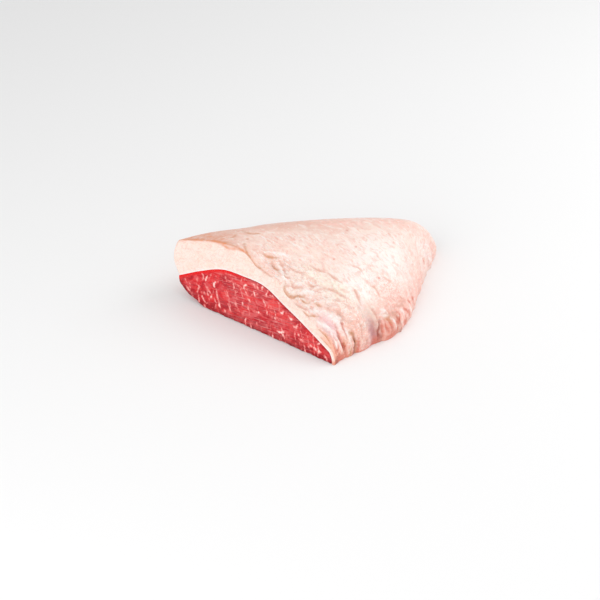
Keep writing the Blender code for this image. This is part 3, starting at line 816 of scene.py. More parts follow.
def fat_inside(s, t):
    """Surface where the fat meets the lean, as along, behind and height."""
    plan = in_plan(*inner_place(s, t))
    back_line, front_line = side_lines(inner_place)
    from_back, _ = distance_to(plan, back_line)
    from_front, _ = distance_to(plan, front_line)
    at_cut = smooth_through(SEAM_ALONG, SEAM_HEIGHT, plan[..., 0])
    under_dome = dome(*inner_place(s, t)) - FAT_OVER_DOME
    rise = 1 - (1 - np.clip(from_back / LEAN_BACK_SLOPE, 0.0, 1.0)) ** LEAN_BACK_POWER
    inside = between(back_seam(s), under_dome, rise)
    radius = between(SEAM_RADIUS_AT_CUT, FRONT_RADIUS - FAT_AT_FRONT, ease(s / FRONT_RADIUS_GROWTH))
    height = between(at_cut, inside, ease(s / DOME_START)) * quarter_round(from_front / radius)
    at_corner = ease((s - BACK_SEAM_DROP) / CORNER_LIFT_GROWTH) * (1 - ease(t / CORNER_LIFT_WIDTH))
    corner_lift = CORNER_LIFT * at_corner
    return np.concatenate([plan, np.maximum(height, corner_lift)[..., None]], axis=-1)


def lean_top(s, t):
    """Top of the lean, against the fat."""
    surface = fat_inside(s, t)
    surface[..., 2] = np.maximum(surface[..., 2], LEAN_FOOT)
    return surface


def lean_underside(s, t):
    """Underside of the lean: flat on the table and rounded up toward the back side."""
    surface = lean_top(s, t)
    back_line, _ = side_lines(inner_place)
    from_back, _ = distance_to(surface[..., :2], back_line)
    from_back = np.maximum(from_back - from_back[:, :1], 0.0)
    edge = np.maximum(back_seam(s) - LEAN_EDGE, 0.0)
    surface[..., 2] = edge * (1 - np.sqrt(np.clip(from_back / UNDERCUT_WIDTH, 0.0, 1.0)))
    return surface


def placed(surface):
    """Leans the cut back, less and less with the distance behind it, and turns it to its bearing."""
    height = surface[..., 2]
    behind = surface[..., 1] + height * math.tan(CUT_LEAN) * np.exp(-surface[..., 1] / LEAN_FADE)
    along = surface[..., 0] - PLAN_CENTRE[0]
    behind = behind - PLAN_CENTRE[1]
    x = along * math.cos(CUT_BEARING) - behind * math.sin(CUT_BEARING)
    y = along * math.sin(CUT_BEARING) + behind * math.cos(CUT_BEARING)
    return np.stack([x, y, height], axis=-1)


def zipped(first, second):
    """Triangles between two lines of vertices that run the same way."""
    faces = []
    i = 0
    j = 0
    first_steps = len(first) - 1
    second_steps = len(second) - 1
    while i < first_steps or j < second_steps:
        if j == second_steps or (i < first_steps and (i + 1) * second_steps <= (j + 1) * first_steps):
            faces.append((first[i], first[i + 1], second[j]))
            i += 1
        else:
            faces.append((first[i], second[j + 1], second[j]))
            j += 1
    return faces


def grid_faces(index):
    """Quads of a grid of vertex numbers."""
    corners = (index[:-1, :-1], index[:-1, 1:], index[1:, 1:], index[1:, :-1])
    return np.stack([corner.ravel() for corner in corners], axis=-1).tolist()


def closed_piece(name, upper, cut, lower, masks):
    """One closed mesh from a top, a cut face below its first row, and an underside, with its masks."""
    parts = [upper, cut, lower]
    vertices = np.concatenate([placed(part).reshape(-1, 3) for part in parts]) * MM
    index = []
    used = 0
    for part in parts:
        count = part.shape[0] * part.shape[1]
        index.append(np.arange(used, used + count).reshape(part.shape[:2]))
        used += count
    top, face, under = index
    faces = grid_faces(top) + grid_faces(np.concatenate([top[:1], face])) + grid_faces(under)
    faces += zipped(face[-1].tolist(), under[0].tolist())
    for column in (0, -1):
        side = top[:, column].tolist()
        below = under[:, column].tolist()
        end = [side[0], *face[:, column].tolist(), below[0]]
        faces += [(side[1], end[k], end[k + 1]) for k in range(len(end) - 1)]
        faces += zipped(side[1:], below)
    faces += zipped(top[-1].tolist(), under[-1].tolist())
    mesh = bpy.data.meshes.new(name)
    mesh.from_pydata(vertices.tolist(), [], faces)
    for mask, values in masks.items():
        kind, field = ("FLOAT", "value") if values.ndim == 1 else ("FLOAT_VECTOR", "vector")
        layer = mesh.attributes.new(mask, kind, "POINT")
        layer.data.foreach_set(field, values.astype(np.float32).ravel())
    tidy = bmesh.new()
    tidy.from_mesh(mesh)
    bmesh.ops.remove_doubles(tidy, verts=tidy.verts, dist=MERGE_DISTANCE)
    bmesh.ops.dissolve_degenerate(tidy, edges=tidy.edges, dist=SLIVER_WIDTH)
    bmesh.ops.recalc_face_normals(tidy, faces=tidy.faces)
    tidy.to_mesh(mesh)
    tidy.free()
    mesh.shade_smooth()
    mesh.set_sharp_from_angle(angle=SHARP_EDGE_ANGLE)
    piece = bpy.data.objects.new(name, mesh)
    bpy.context.scene.collection.objects.link(piece)
    return piece


def joined_masks(*parts):
    """Each mask over all the parts of a piece, in one list."""
    masks = {}
    for name in parts[0]:
        masks[name] = np.concatenate([part[name].reshape(-1, *part[name].shape[2:]) for part in parts])
    return masks


def rim_step(along):
    """Where the small step in the rim is."""
    return bell((along - STEP_PLACE) / STEP_HALF_LENGTH)


def spots(plan, name):
    """The soft spots of one tint."""
    total = np.zeros(plan.shape[:-1])
    for along, behind, half_length, half_width, turn, strength in SPOTS[name]:
        total += strength * oval(plan, along, behind, half_length, half_width, turn)
    return total


def skin_masks(surface, plan, from_back, from_front, fold_relief, tints):
    """Where the skin is crumpled, tinted, given painted shade and highlight, or wet, each from 0 to 1."""
    along = plan[..., 0]
    behind = plan[..., 1]
    height = surface[..., 2]
    off_table = rises(height, *OFF_TABLE)
    near_front = falls(from_front, *NEAR_FRONT)
    tip_end = near_front * falls(behind, *TIP_BEHIND)
    crumpled = rises(along, *CRUMPLED_ALONG) * falls(behind, *CRUMPLED_BEHIND) * rises(behind, *PAST_RIM)
    left_rim = falls(along, *LEFT_ALONG) * np.exp(-behind / LEFT_FADE)
    # Painted shade where the top turns down to the back side: brown at the left, pink toward the far end.
    over_back = falls(from_back, *OVER_BACK) * between(0.5, 1.0, rises(from_back, *BACK_SIDE))
    back_shade = over_back * (1 - 0.85 * rises(behind, *BACK_SHADE))
    back_blush = 0.4 * over_back * rises(behind, *BACK_BLUSH)
    far_edge = bell(from_front / FAR_EDGE_WIDTH) * rises(behind, *FAR_EDGE_BEHIND)
    ball = spots(plan, "ball")
    loops = spots(plan, "loops")
    lumpy = (0.35 + 0.5 * crumpled + 0.5 * loops + 0.6 * far_edge) * rises(behind, *FIBRE_BEHIND)
    # Painted shade on the skin close to the table at the front.
    low = np.exp(-height / TABLE_SHADE_HEIGHT) * (1 - 0.8 * rises(behind, *TABLE_SHADE_BEHIND))
    # Painted shade in the bottoms of the folds at the front, but not in the valley.
    folded = np.clip(-fold_relief / FOLD_DEPTH, 0, 1) * falls(from_front, *FOLD_REACH)
    rim_line = bell(behind / RIM_LINE_WIDTH) * falls(along, *RIM_LINE_ALONG) * (1 - rim_step(along))
    rim_band = 0.5 * bell(behind / RIM_BAND_WIDTH) * falls(along, *RIM_BAND_ALONG)
    masks = {
        "wrinkle": (0.10 + 0.8 * crumpled + 0.6 * tip_end + 0.35 * far_edge + 0.3 * ball) * off_table,
        "fibre": lumpy * off_table,
        # Dried skin at the left of the rim, with the painted shade of the back side and the top at the left.
        "brown_zone": left_rim + back_shade + spots(plan, "dome_shade"),
        "rim_line": rim_line + rim_band,
        "pink": 0.42 * far_edge * falls(behind, *PINK_BEHIND) + back_blush + spots(plan, "pink"),
        "loops": 0.85 * loops + 0.35 * far_edge,
        "peach": tip_end * falls(from_front, *PEACH_REACH) * (1 - 0.6 * ball) + spots(plan, "peach"),
        "low_edge": low * near_front,
        "fold": folded * (1 - spots(plan, "valley")),
        "ball": ball,
        "wet": 0.25 + 0.6 * tip_end + spots(plan, "wet"),
        "turned": falls(from_back, *TURNED_BACK) * falls(along, *TURNED_ALONG),
        "cut_face": np.zeros_like(along),
        "near_lean": np.zeros_like(along),
    }
    masks.update({name: spots(plan, name) for name in SPOT_TINTS})
    masks.update(tints)
    masks = {name: np.clip(mask, 0, 1) for name, mask in masks.items()}
    masks["flow"] = np.stack([along, behind, height], axis=-1)
    return masks


def flat_masks(surface, names, **given):
    """The same masks on a surface that is plain, apart from those that are given."""
    masks = {name: np.full(surface.shape[:2], float(given.get(name, 0.0))) for name in names}
    masks["flow"] = surface.copy()
    return masks


def fat_cut_face(rim, seam):
    """Rows of the fat's cut face from the rim down to the seam, rounded over at the rim."""
    share = np.linspace(0.0, 1.0, FAT_CUT_ROWS + 1)[1:, None, None]
    rows = between(rim[None], seam[None], share ** ROWS_TO_RIM)
    drop = np.linalg.norm(rows - rim[None], axis=-1)
    lip = np.clip(1 - drop / RIM_ROUNDING, 0.0, 1.0)
    rows[..., 1] = RIM_ROUNDING * (1 - np.sqrt(1 - lip ** 2))
    return rows


def fat_cut_masks(cut, rim, seam, names):
    """Masks of the fat's cut face."""
    masks = flat_masks(cut, names, wet=CUT_WETNESS)
    from_seam = np.linalg.norm(cut - seam[None], axis=-1)
    below_line = np.linalg.norm(cut - rim[None], axis=-1) - STEP_DROP * rim_step(cut[..., 0])
    to_tip = rises(cut[..., 0], *CUT_TIP)
    to_left = falls(cut[..., 0], *CUT_LEFT)
    foot = to_tip * falls(cut[..., 2], *CUT_FOOT)
    skin = 0.95 * to_tip * rises(from_seam, *CUT_SKIN)
    brown = 0.8 * to_left * bell(np.maximum(below_line, 0) / RIM_BLUR)
    # Near the table at the tip, painted shade takes the place of the cut face's own colour.
    masks["cut_face"] = (1 - skin - brown) * (1 - 0.9 * foot)
    masks["low_edge"] = 0.6 * foot
    masks["brown"] = 0.7 * to_tip * bell((from_seam - CUT_BROWN) / CUT_BROWN_WIDTH)
    masks["peach"] = to_tip
    masks["tip_orange"] = 0.6 * to_tip
    masks["rim_line"] = 0.8 * to_left * bell(below_line / RIM_LINE_BLUR)
    masks["brown_zone"] = 0.8 * to_left
    masks["near_lean"] = np.exp(-from_seam / WHITE_EDGE)
    return masks


def fat_piece():
    """The fat cap as one closed mesh with its masks."""
    s, t = grid_places(SKIN_ROWS, SKIN_COLUMNS)
    surface, *given = fat_outside(s, t)
    skin = skin_masks(surface, *given)
    surface[..., 1] += RIM_ROUNDING * np.exp(-surface[..., 1] / RIM_FADE)
    seam = fat_inside(s[:1], t[:1])[0]
    cut = fat_cut_face(surface[0], seam)
    cut_masks = fat_cut_masks(cut, surface[0], seam, skin)
    cut[-1, :, 2] = np.maximum(cut[-1, :, 2] - SEAM_COVER, 0.0)
    inside = fat_inside(*grid_places(HIDDEN_ROWS, HIDDEN_COLUMNS))
    inside[0, :, 1] += RIM_ROUNDING
    masks = joined_masks(skin, cut_masks, flat_masks(inside, skin))
    return closed_piece("fat_cap_skin", surface, cut, inside, masks)


def fleck(u, v, half_length, half_width):
    """A blunt dash of fat, 1 in its middle, from the distances along it and across it."""
    return np.exp(-((u / half_length) ** 4) - (v / half_width) ** 2)


def marbling(along, below_seam, settings):
    """How much of the cut face is a pale fleck: the clear ones, faint dashes in rows, and loose ones."""
    rng = np.random.default_rng(FLECK_SEED)
    flecks = np.zeros_like(along)
    spacing = settings.row_spacing / MM
    for start in np.arange(*ROWS_ALONG, spacing):
        start += rng.uniform(-ROW_SHIFT, ROW_SHIFT) * spacing
        slant = rng.uniform(*ROW_SLANT)
        bend = rng.uniform(*ROW_BEND)
        drop = rng.uniform(*FIRST_DROP)
        while drop < LAST_DROP:
            length = rng.uniform(*DASH_HALF_LENGTH)
            width = rng.uniform(*DASH_HALF_WIDTH)
            strength = rng.choice(DASH_STRENGTHS)
            bent = bend * np.exp(-drop / BEND_DEPTH)
            place = start + slant * drop + bent + rng.uniform(-DASH_SHIFT, DASH_SHIFT)
            turn = slant - bent / BEND_DEPTH + rng.uniform(-DASH_TURN, DASH_TURN)
            curve = rng.uniform(-DASH_CURVE, DASH_CURVE)
            u = below_seam - drop
            v = along - place - turn * u - curve * u * u
            flecks = np.maximum(flecks, strength * fleck(u, v, length, width))
            drop += length * rng.uniform(*DASH_STEP) + DASH_GAP
    for _ in range(settings.loose_flecks):
        place = rng.uniform(*LOOSE_ALONG)
        drop = rng.uniform(*LOOSE_DROP)
        turn = rng.uniform(*LOOSE_TURN)
        u = (below_seam - drop) * math.cos(turn) - (along - place) * math.sin(turn)
        v = (below_seam - drop) * math.sin(turn) + (along - place) * math.cos(turn)
        length = rng.uniform(*LOOSE_HALF_LENGTH)
        strength = rng.uniform(*LOOSE_STRENGTH)
        flecks = np.maximum(flecks, strength * fleck(u, v, length, LOOSE_HALF_WIDTH))
    face = np.stack([along, below_seam], axis=-1)
    for strength, points in FLECKS:
        distance, full = near_line(face, points, FLECK_HALF_WIDTH)
        flecks = np.maximum(flecks, strength * full * bell(distance))
    return flecks


def foot_rounding(along):
    """Radius of the lean's rounded foot, which wavers along the cut."""
    wave = sum(share * np.sin(pace * along + start) for share, pace, start in FOOT_WAVES)
    return LEAN_CUT_ROUNDING * (1 + wave)


def lean_cut_face(top_row, bottom_row, settings):
    """Rows of the lean's cut face, rounded over at the foot, with its flecks standing a little proud."""
    share = np.linspace(0.0, 1.0, LEAN_CUT_ROWS + 1)[1:, None, None]
    rows = between(top_row[None], bottom_row[None], share)
    below_seam = top_row[None, :, 2] - rows[..., 2]
    above_foot = rows[..., 2] - bottom_row[None, :, 2]
    flecks = marbling(rows[..., 0], below_seam, settings)
    raised = flecks * rises(below_seam, *FLECK_FADE) * rises(above_foot, *FLECK_FADE)
    rounding = foot_rounding(bottom_row[None, :, 0])
    lip = np.clip(1 - above_foot / rounding, 0.0, 1.0)
    rounded = rounding * (1 - np.sqrt(1 - lip ** 2))
    set_back = SEAM_COVER * np.exp(-below_seam)
    rows[..., 1] = rounded + set_back - settings.fleck_height / MM * raised
    return rows, flecks, below_seam, above_foot


def lean_piece(settings):
    """The lean as one closed mesh with its masks."""
    top = lean_top(*grid_places(HIDDEN_ROWS, LEAN_COLUMNS))
    under = lean_underside(*grid_places(LEAN_UNDER_ROWS, LEAN_COLUMNS))
    under[..., 1] += foot_rounding(under[:1, :, 0]) * np.exp(-under[..., 1] / FOOT_FADE)
    rows, flecks, below_seam, above_foot = lean_cut_face(top[0], under[0], settings)
    along = rows[..., 0]
    to_tip = rises(along, *SEAM_TO_TIP)
    flow = rows.copy()
    flow[..., 2] -= GRAIN_RISE * along
    masks = {
        "marbling": flecks,
        "cut_face": np.ones_like(flecks),
        "near_seam": falls(below_seam, *SEAM_GLOW) * (1 - to_tip),
        "tip_seam": np.exp(-below_seam / TIP_SEAM_FADE) * to_tip,
        # Painted shade along the lean's foot near the table.
        "near_foot": np.exp(-above_foot / FOOT_SHADE),
        "shiny": rises(along, *SHINE_START) * falls(along, *SHINE_END),
        "grain": rises(below_seam, *GRAIN_FADE) * rises(above_foot, *GRAIN_FADE),
        "flow": flow,
    }
    masks = joined_masks(flat_masks(top, masks), masks, flat_masks(under, masks))
    return closed_piece("lean_muscle", top, rows, under, masks)


def tone(red, green, blue):
    """Linear colour of a display colour given from 0 to 255."""
    values = [channel / 255 for channel in (red, green, blue)]
    return tuple(v / 12.92 if v <= 0.04045 else ((v + 0.055) / 1.055) ** 2.4 for v in values)


class NodeMaker:
    """Adds nodes to a tree and links them, so that a chain of them reads as a formula."""

    def __init__(self, tree):
        self.tree = tree

    def add(self, kind, inputs=None, **settings):
        """A new node with these settings, and with values or links for its inputs."""
        node = self.tree.nodes.new(kind)
        for name, value in settings.items():
            setattr(node, name, value)
        for name, value in (inputs or {}).items():
            self.feed(node.inputs[name], value)
        return node

    def feed(self, socket, value):
        """Links an output to an input, or sets the input's value."""
        if isinstance(value, bpy.types.NodeSocket):
            self.tree.links.new(value, socket)
        elif socket.type == "RGBA":
            socket.default_value = (*value, 1.0)
        else:
            socket.default_value = value

    def math(self, operation, *values):
        return self.add("ShaderNodeMath", dict(enumerate(values)), operation=operation).outputs[0]

    def times(self, first, second):
        return self.math("MULTIPLY", first, second)

    def vector(self, operation, first, second):
        inputs = {0: first, "Scale" if operation == "SCALE" else 1: second}
        return self.add("ShaderNodeVectorMath", inputs, operation=operation).outputs[0]

    def mask(self, name):
        return self.add("ShaderNodeAttribute", attribute_name=name).outputs["Fac"]

    def flow(self):
        """The place that the patterns follow, in millimetres along the cut, behind it and up."""
        return self.add("ShaderNodeAttribute", attribute_name="flow").outputs["Vector"]

    def blend(self, share, first, second):
        return self.add("ShaderNodeMix", {0: share, 6: first, 7: second}, data_type="RGBA").outputs[2]

    def step(self, value, low, high):
        """Rises smoothly from 0 to 1 between two values."""
        inputs = {0: value, 1: low, 2: high}
        return self.add("ShaderNodeMapRange", inputs, interpolation_type="SMOOTHSTEP").outputs[0]

    def line(self, value, level, half_width, core=0.0):
        """A line where a value reaches a level, full in its core and faded out at its half width."""
        away = self.math("ABSOLUTE", self.math("SUBTRACT", value, level))
        return self.step(away, half_width, core)

    def noise(self, vector, scale, detail=2.0, distortion=0.0):
        inputs = {"Vector": vector, "Scale": scale, "Detail": detail, "Distortion": distortion}
        return self.add("ShaderNodeTexNoise", inputs).outputs[0]

    def flow_noise(self, cells, detail, distortion):
        """Noise on the flow, with its number of cells to a millimetre in each direction."""
        return self.noise(self.vector("MULTIPLY", self.flow(), cells), 1.0, detail, distortion)

    def dashes(self, turn, length, width):
        """Noise drawn out along one direction of the plan, with a length and a width in metres."""
        inputs = {"Vector": self.flow(), "Angle": -turn}
        turned = self.add("ShaderNodeVectorRotate", inputs, rotation_type="Z_AXIS").outputs[0]
        cells = (MM / length, MM / width, MM / width)
        return self.noise(self.vector("MULTIPLY", turned, cells), 1.0, 3.0, 0.5)

    def clamped(self, value):
        return self.add("ShaderNodeClamp", {0: value}).outputs[0]

    def group(self, tree, **values):
        inputs = {name.replace("_", " "): value for name, value in values.items()}
        return self.add("ShaderNodeGroup", node_tree=tree, inputs=inputs)


class Paint:
    """A colour that other colours of the settings are laid over, each where a mask is."""

    def __init__(self, make, settings, colour):
        self.make = make
        self.settings = settings
        self.colour = tuple(getattr(settings, colour))

    def lay(self, colour, mask, share=None):
        """Lays a colour over where the mask is, or over a share of that."""
        if share is not None:
            mask = self.make.times(mask, share)
        self.colour = self.make.blend(mask, self.colour, tuple(getattr(self.settings, colour)))

    def lay_ragged(self, ragged, place, tints):
        """Lays tints over that have ragged edges."""
        for colour, mask, size, raggedness, share in tints:
            edge = self.make.group(
                ragged, Mask=self.make.mask(mask), Vector=place, Size=size, Raggedness=raggedness
            )
            self.lay(colour, edge.outputs[0], share)


def new_group(name, kind, inputs, outputs):
    """A node group with named inputs (name, type, default) and outputs (name, type)."""
    tree = bpy.data.node_groups.new(name, kind)
    for label, socket_type, default in inputs:
        socket = tree.interface.new_socket(label, in_out="INPUT", socket_type="NodeSocket" + socket_type)
        if default is not None:
            socket.default_value = default
    for label, socket_type in outputs:
        tree.interface.new_socket(label, in_out="OUTPUT", socket_type="NodeSocket" + socket_type)
    given = tree.nodes.new("NodeGroupInput").outputs
    return tree, NodeMaker(tree), given, tree.nodes.new("NodeGroupOutput").inputs


def ragged_mask_group():
    """Shader group: breaks up the edge of a smooth mask with noise."""
    tree, make, given, result = new_group(
        "Ragged mask",
        "ShaderNodeTree",
        [
            ("Mask", "Float", 0.0),
            ("Vector", "Vector", None),
            ("Size", "Float", 0.006),
            ("Raggedness", "Float", 0.5),
        ],
        [("Mask", "Float")],
    )
    notches = make.noise(given["Vector"], make.math("DIVIDE", 1.0, given["Size"]), detail=3.0)
    spread = make.times(make.math("SUBTRACT", notches, 0.5), given["Raggedness"])
    where = make.times(make.step(given["Mask"], 0.0, 0.25), 2.0)
    ragged = make.math("ADD", given["Mask"], make.times(spread, where))
    make.feed(result["Mask"], make.clamped(ragged))
    return tree


def moist_surface_group():
    """Shader group: uneven roughness of a moist surface, and its film as a coat mask."""
    tree, make, given, result = new_group(
        "Moist surface",
        "ShaderNodeTree",
        [
            ("Vector", "Vector", None),
            ("Wetness", "Float", 0.3),
            ("Dry Roughness", "Float", 0.5),
            ("Wet Roughness", "Float", 0.2),
        ],
        [("Roughness", "Float"), ("Film", "Float")],
    )
    patches = make.step(make.noise(given["Vector"], WET_PATCHES, detail=3.0), 0.30, 0.72)
    film = make.clamped(make.times(given["Wetness"], make.math("ADD", patches, 0.35)))
    spread = make.math("SUBTRACT", given["Wet Roughness"], given["Dry Roughness"])
    make.feed(result["Roughness"], make.math("MULTIPLY_ADD", film, spread, given["Dry Roughness"]))
    make.feed(result["Film"], film)
    return tree


def relief_group():
    """Geometry group: raises a surface by stretched noise, as far as a mask on it allows."""
    tree, make, given, result = new_group(
        "Skin relief",
        "GeometryNodeTree",
        [
            ("Geometry", "Geometry", None),
            ("Where", "String", "wrinkle"),
            ("Record", "String", "ridge"),
            ("Height", "Float", 0.0008),
            ("Length", "Float", 18.0),
            ("Width", "Float", 5.0),
            ("Turn", "Float", 0.0),
            ("Looping", "Float", 0.6),
            ("Seed", "Float", 3.0),
            ("Material", "Material", None),
        ],
        [("Geometry", "Geometry")],
    )
    attribute = "GeometryNodeInputNamedAttribute"
    flow = make.add(attribute, {"Name": "flow"}, data_type="FLOAT_VECTOR").outputs[0]
    rotation = {"Vector": flow, "Angle": given["Turn"]}
    turned = make.add("ShaderNodeVectorRotate", rotation, rotation_type="Z_AXIS")
    size = make.add("ShaderNodeCombineXYZ", {0: given["Length"], 1: given["Width"], 2: given["Width"]})
    pattern = {
        "Vector": make.vector("DIVIDE", turned.outputs[0], size.outputs[0]),
        "W": given["Seed"],
        "Scale": 1.0,
        "Detail": 3.0,
        "Roughness": 0.55,
        "Distortion": given["Looping"],
    }
    noise = make.add("ShaderNodeTexNoise", pattern, noise_dimensions="4D")
    centred = make.times(make.math("SUBTRACT", noise.outputs[0], 0.5), 2.0)
    where = make.add(attribute, {"Name": given["Where"]}, data_type="FLOAT").outputs[0]
    ridge = make.times(centred, where)
    normal = make.add("GeometryNodeInputNormal").outputs[0]
    offset = make.vector("SCALE", normal, make.times(ridge, given["Height"]))
    named = {"Geometry": given["Geometry"], "Name": given["Record"], "Value": ridge}
    kept = make.add("GeometryNodeStoreNamedAttribute", named, data_type="FLOAT", domain="POINT")
    moved = make.add("GeometryNodeSetPosition", {"Geometry": kept.outputs[0], "Offset": offset})
    real = make.add("GeometryNodeRealizeInstances", {0: moved.outputs[0]})
    finish = {"Geometry": real.outputs[0], "Material": given["Material"]}
    make.feed(result[0], make.add("GeometryNodeSetMaterial", finish).outputs[0])
    return tree


def shared_groups():
    """The node groups that the pieces share, each made the first time it is asked for."""
    makers = {
        "Ragged mask": ragged_mask_group,
        "Moist surface": moist_surface_group,
        "Skin relief": relief_group,
    }
    return [bpy.data.node_groups.get(name) or maker() for name, maker in makers.items()]


def add_relief(piece, tree, **values):
    """Puts a relief modifier on a piece with its inputs set by socket identifier."""
    modifier = piece.modifiers.new(tree.name, "NODES")
    modifier.node_group = tree
    sockets = {item.name: item.identifier for item in tree.interface.items_tree if item.in_out == "INPUT"}
    for name, value in values.items():
        modifier[sockets[name]] = value


def moist_finish(make, shader, film, coat, relief, fixed):
    """Gives a shader its moist film, its relief and the values that are the same all over."""
    make.feed(shader.inputs["Roughness"], film.outputs["Roughness"])
    make.feed(shader.inputs["Coat Weight"], make.times(film.outputs["Film"], coat))
    for name, value in fixed.items():
        shader.inputs[name].default_value = value
    bump = {"Height": relief, "Distance": BUMP_DISTANCE, "Strength": BUMP_STRENGTH}
    make.feed(shader.inputs["Normal"], make.add("ShaderNodeBump", bump).outputs[0])


def dashed_skin(make, settings):
    """The dashes of the skin, which run another way on the side that is turned to the back."""
    size = (settings.dash_length, settings.dash_width)
    front = make.dashes(FRONT_DASH_TURN, *size)
    back = make.dashes(BACK_DASH_TURN, *size)
    return make.math("MULTIPLY_ADD", make.mask("turned"), make.math("SUBTRACT", back, front), front)


def skin_colour(make, settings, ragged, place, dashes, blotches, fine, flaps):
    """The mottled, dashed and tinted colour of the fat's skin, with painted shade and highlight in its
    wrinkles, folds and creases.
    """
    strength = settings.dash_strength
    skin = Paint(make, settings, "cream")
    skin.lay("blush", make.step(make.noise(place, SKIN_CLOUDS, detail=3.0), 0.32, 0.68))
    # Paler skin, partly a painted broad highlight on the top.
    skin.lay("pale_skin_and_highlight", make.mask("pale_zone"))
    skin.lay_ragged(ragged, place, UNDER_TINTS)
    spotted = make.math("MULTIPLY_ADD", make.mask("brown_zone"), 0.5, 0.5)
    skin.lay("blotch", make.times(make.step(blotches, 0.51, 0.66), spotted))
    skin.lay("pale_skin_and_highlight", make.step(blotches, 0.46, 0.32), 0.45)
    net = make.line(make.flow_noise(*NET), 0.5, 0.07, core=0.01)
    skin.lay("loop", make.times(net, make.mask("loops")), 0.85)
    patches = make.step(make.noise(place, DASH_PATCHES), 0.36, 0.60)
    patches = make.math("MULTIPLY_ADD", patches, 0.7 * strength, 0.3 * strength)
    # Fewer streaks where the highlight is painted.
    calm = make.math("MULTIPLY_ADD", make.mask("pale_zone"), -0.4, 1.0)
    skin.lay("streak", make.times(make.times(make.step(dashes, 0.54, 0.68), patches), calm))
    tinted = make.math("MAXIMUM", make.mask("brown_zone"), make.mask("pink"))
    clean = make.math("MULTIPLY_ADD", tinted, -0.65, 1.0)
    skin.lay("pale", make.times(make.times(make.step(dashes, 0.46, 0.32), patches), clean))
    skin.lay("streak", make.step(fine, 0.56, 0.72), 0.25)
    wrinkled = make.mask("wrinkle")
    # Painted shade on one side of each flap's edge and a painted highlight on the other.
    skin.lay("shade_line", make.times(make.line(flaps, 0.47, 0.03), wrinkled), 0.55)
    skin.lay("pale", make.times(make.line(flaps, 0.53, 0.04), wrinkled), 0.5)
    # Painted shade in the bottoms of the wrinkles and a painted highlight on their tops, from the recorded
    # relief.
    skin.lay("wrinkle_shade", make.step(make.mask("ridge"), 0.0, -0.28), 0.6)
    skin.lay("pale", make.step(make.mask("ridge"), 0.06, 0.34), 0.65)
    skin.lay_ragged(ragged, place, OVER_TINTS)
    return skin.colour


def cut_fat_colour(make, settings, blotches, fine):
    """The pale, faintly veined colour of the fat's cut face."""
    cut = Paint(make, settings, "cut_fat")
    cut.lay("cut_fat_shade", make.step(blotches, 0.42, 0.60))
    cut.lay("streak", make.line(make.flow_noise(*VEINS), 0.5, 0.035), 0.45)
    cut.lay("streak", make.step(fine, 0.58, 0.72), 0.3)
    cut.lay("pale", make.step(fine, 0.44, 0.30), 0.4)
    cut.lay("pale", make.mask("near_lean"))
    return cut.colour


def made_plain(piece):
    """Turns what the modifiers make into the piece's own plain mesh, and takes them off."""
    bpy.context.view_layer.update()
    depsgraph = bpy.context.evaluated_depsgraph_get()
    mesh = bpy.data.meshes.new_from_object(
        piece.evaluated_get(depsgraph), preserve_all_data_layers=True, depsgraph=depsgraph
    )
    old = piece.data
    piece.modifiers.clear()
    piece.data = mesh
    mesh.name = piece.name
    bpy.data.meshes.remove(old)
    if not mesh.materials or not mesh.materials[0]:
        raise RuntimeError(f"{piece.name} came out without its material")
    return piece


def shader_of(name):
    """A new material, its node maker and its shader."""
    material = bpy.data.materials.new(name)
    material.use_nodes = True
    return material, NodeMaker(material.node_tree), material.node_tree.nodes["Principled BSDF"]


def fat_material(settings, ragged, moist):
    """Cream fat: mottled and dashed skin, tinted at its edges, with painted shade and highlight, and a smooth
    pale cut face.
    """
    material, make, shader = shader_of("cream_fat_skin")
    place = make.add("ShaderNodeTexCoord").outputs["Object"]
    dashes = dashed_skin(make, settings)
    blotches = make.flow_noise(*BLOTCHES)
    fine = make.flow_noise(*SPECKS)
    flaps = make.flow_noise(*FLAPS)
    skin = skin_colour(make, settings, ragged, place, dashes, blotches, fine, flaps)
    cut = cut_fat_colour(make, settings, blotches, fine)
    cut_mask = make.mask("cut_face")
    make.feed(shader.inputs["Base Color"], make.blend(cut_mask, skin, cut))
    relief = make.math("MULTIPLY_ADD", blotches, 1.2, dashes)
    relief = make.math("MULTIPLY_ADD", fine, 0.5, relief)
    terrace = make.times(make.step(flaps, 0.46, 0.53), make.mask("wrinkle"))
    relief = make.math("MULTIPLY_ADD", terrace, 0.6, relief)
    relief = make.times(relief, make.math("MULTIPLY_ADD", cut_mask, -0.75, 1.0))
    relief = make.math("MULTIPLY_ADD", make.noise(place, PORES), 0.12, relief)
    film = make.group(moist, Vector=place, Wetness=make.mask("wet"), Dry_Roughness=0.5, Wet_Roughness=0.16)
    moist_finish(make, shader, film, 0.8, relief, FAT_SHADER)
    return material


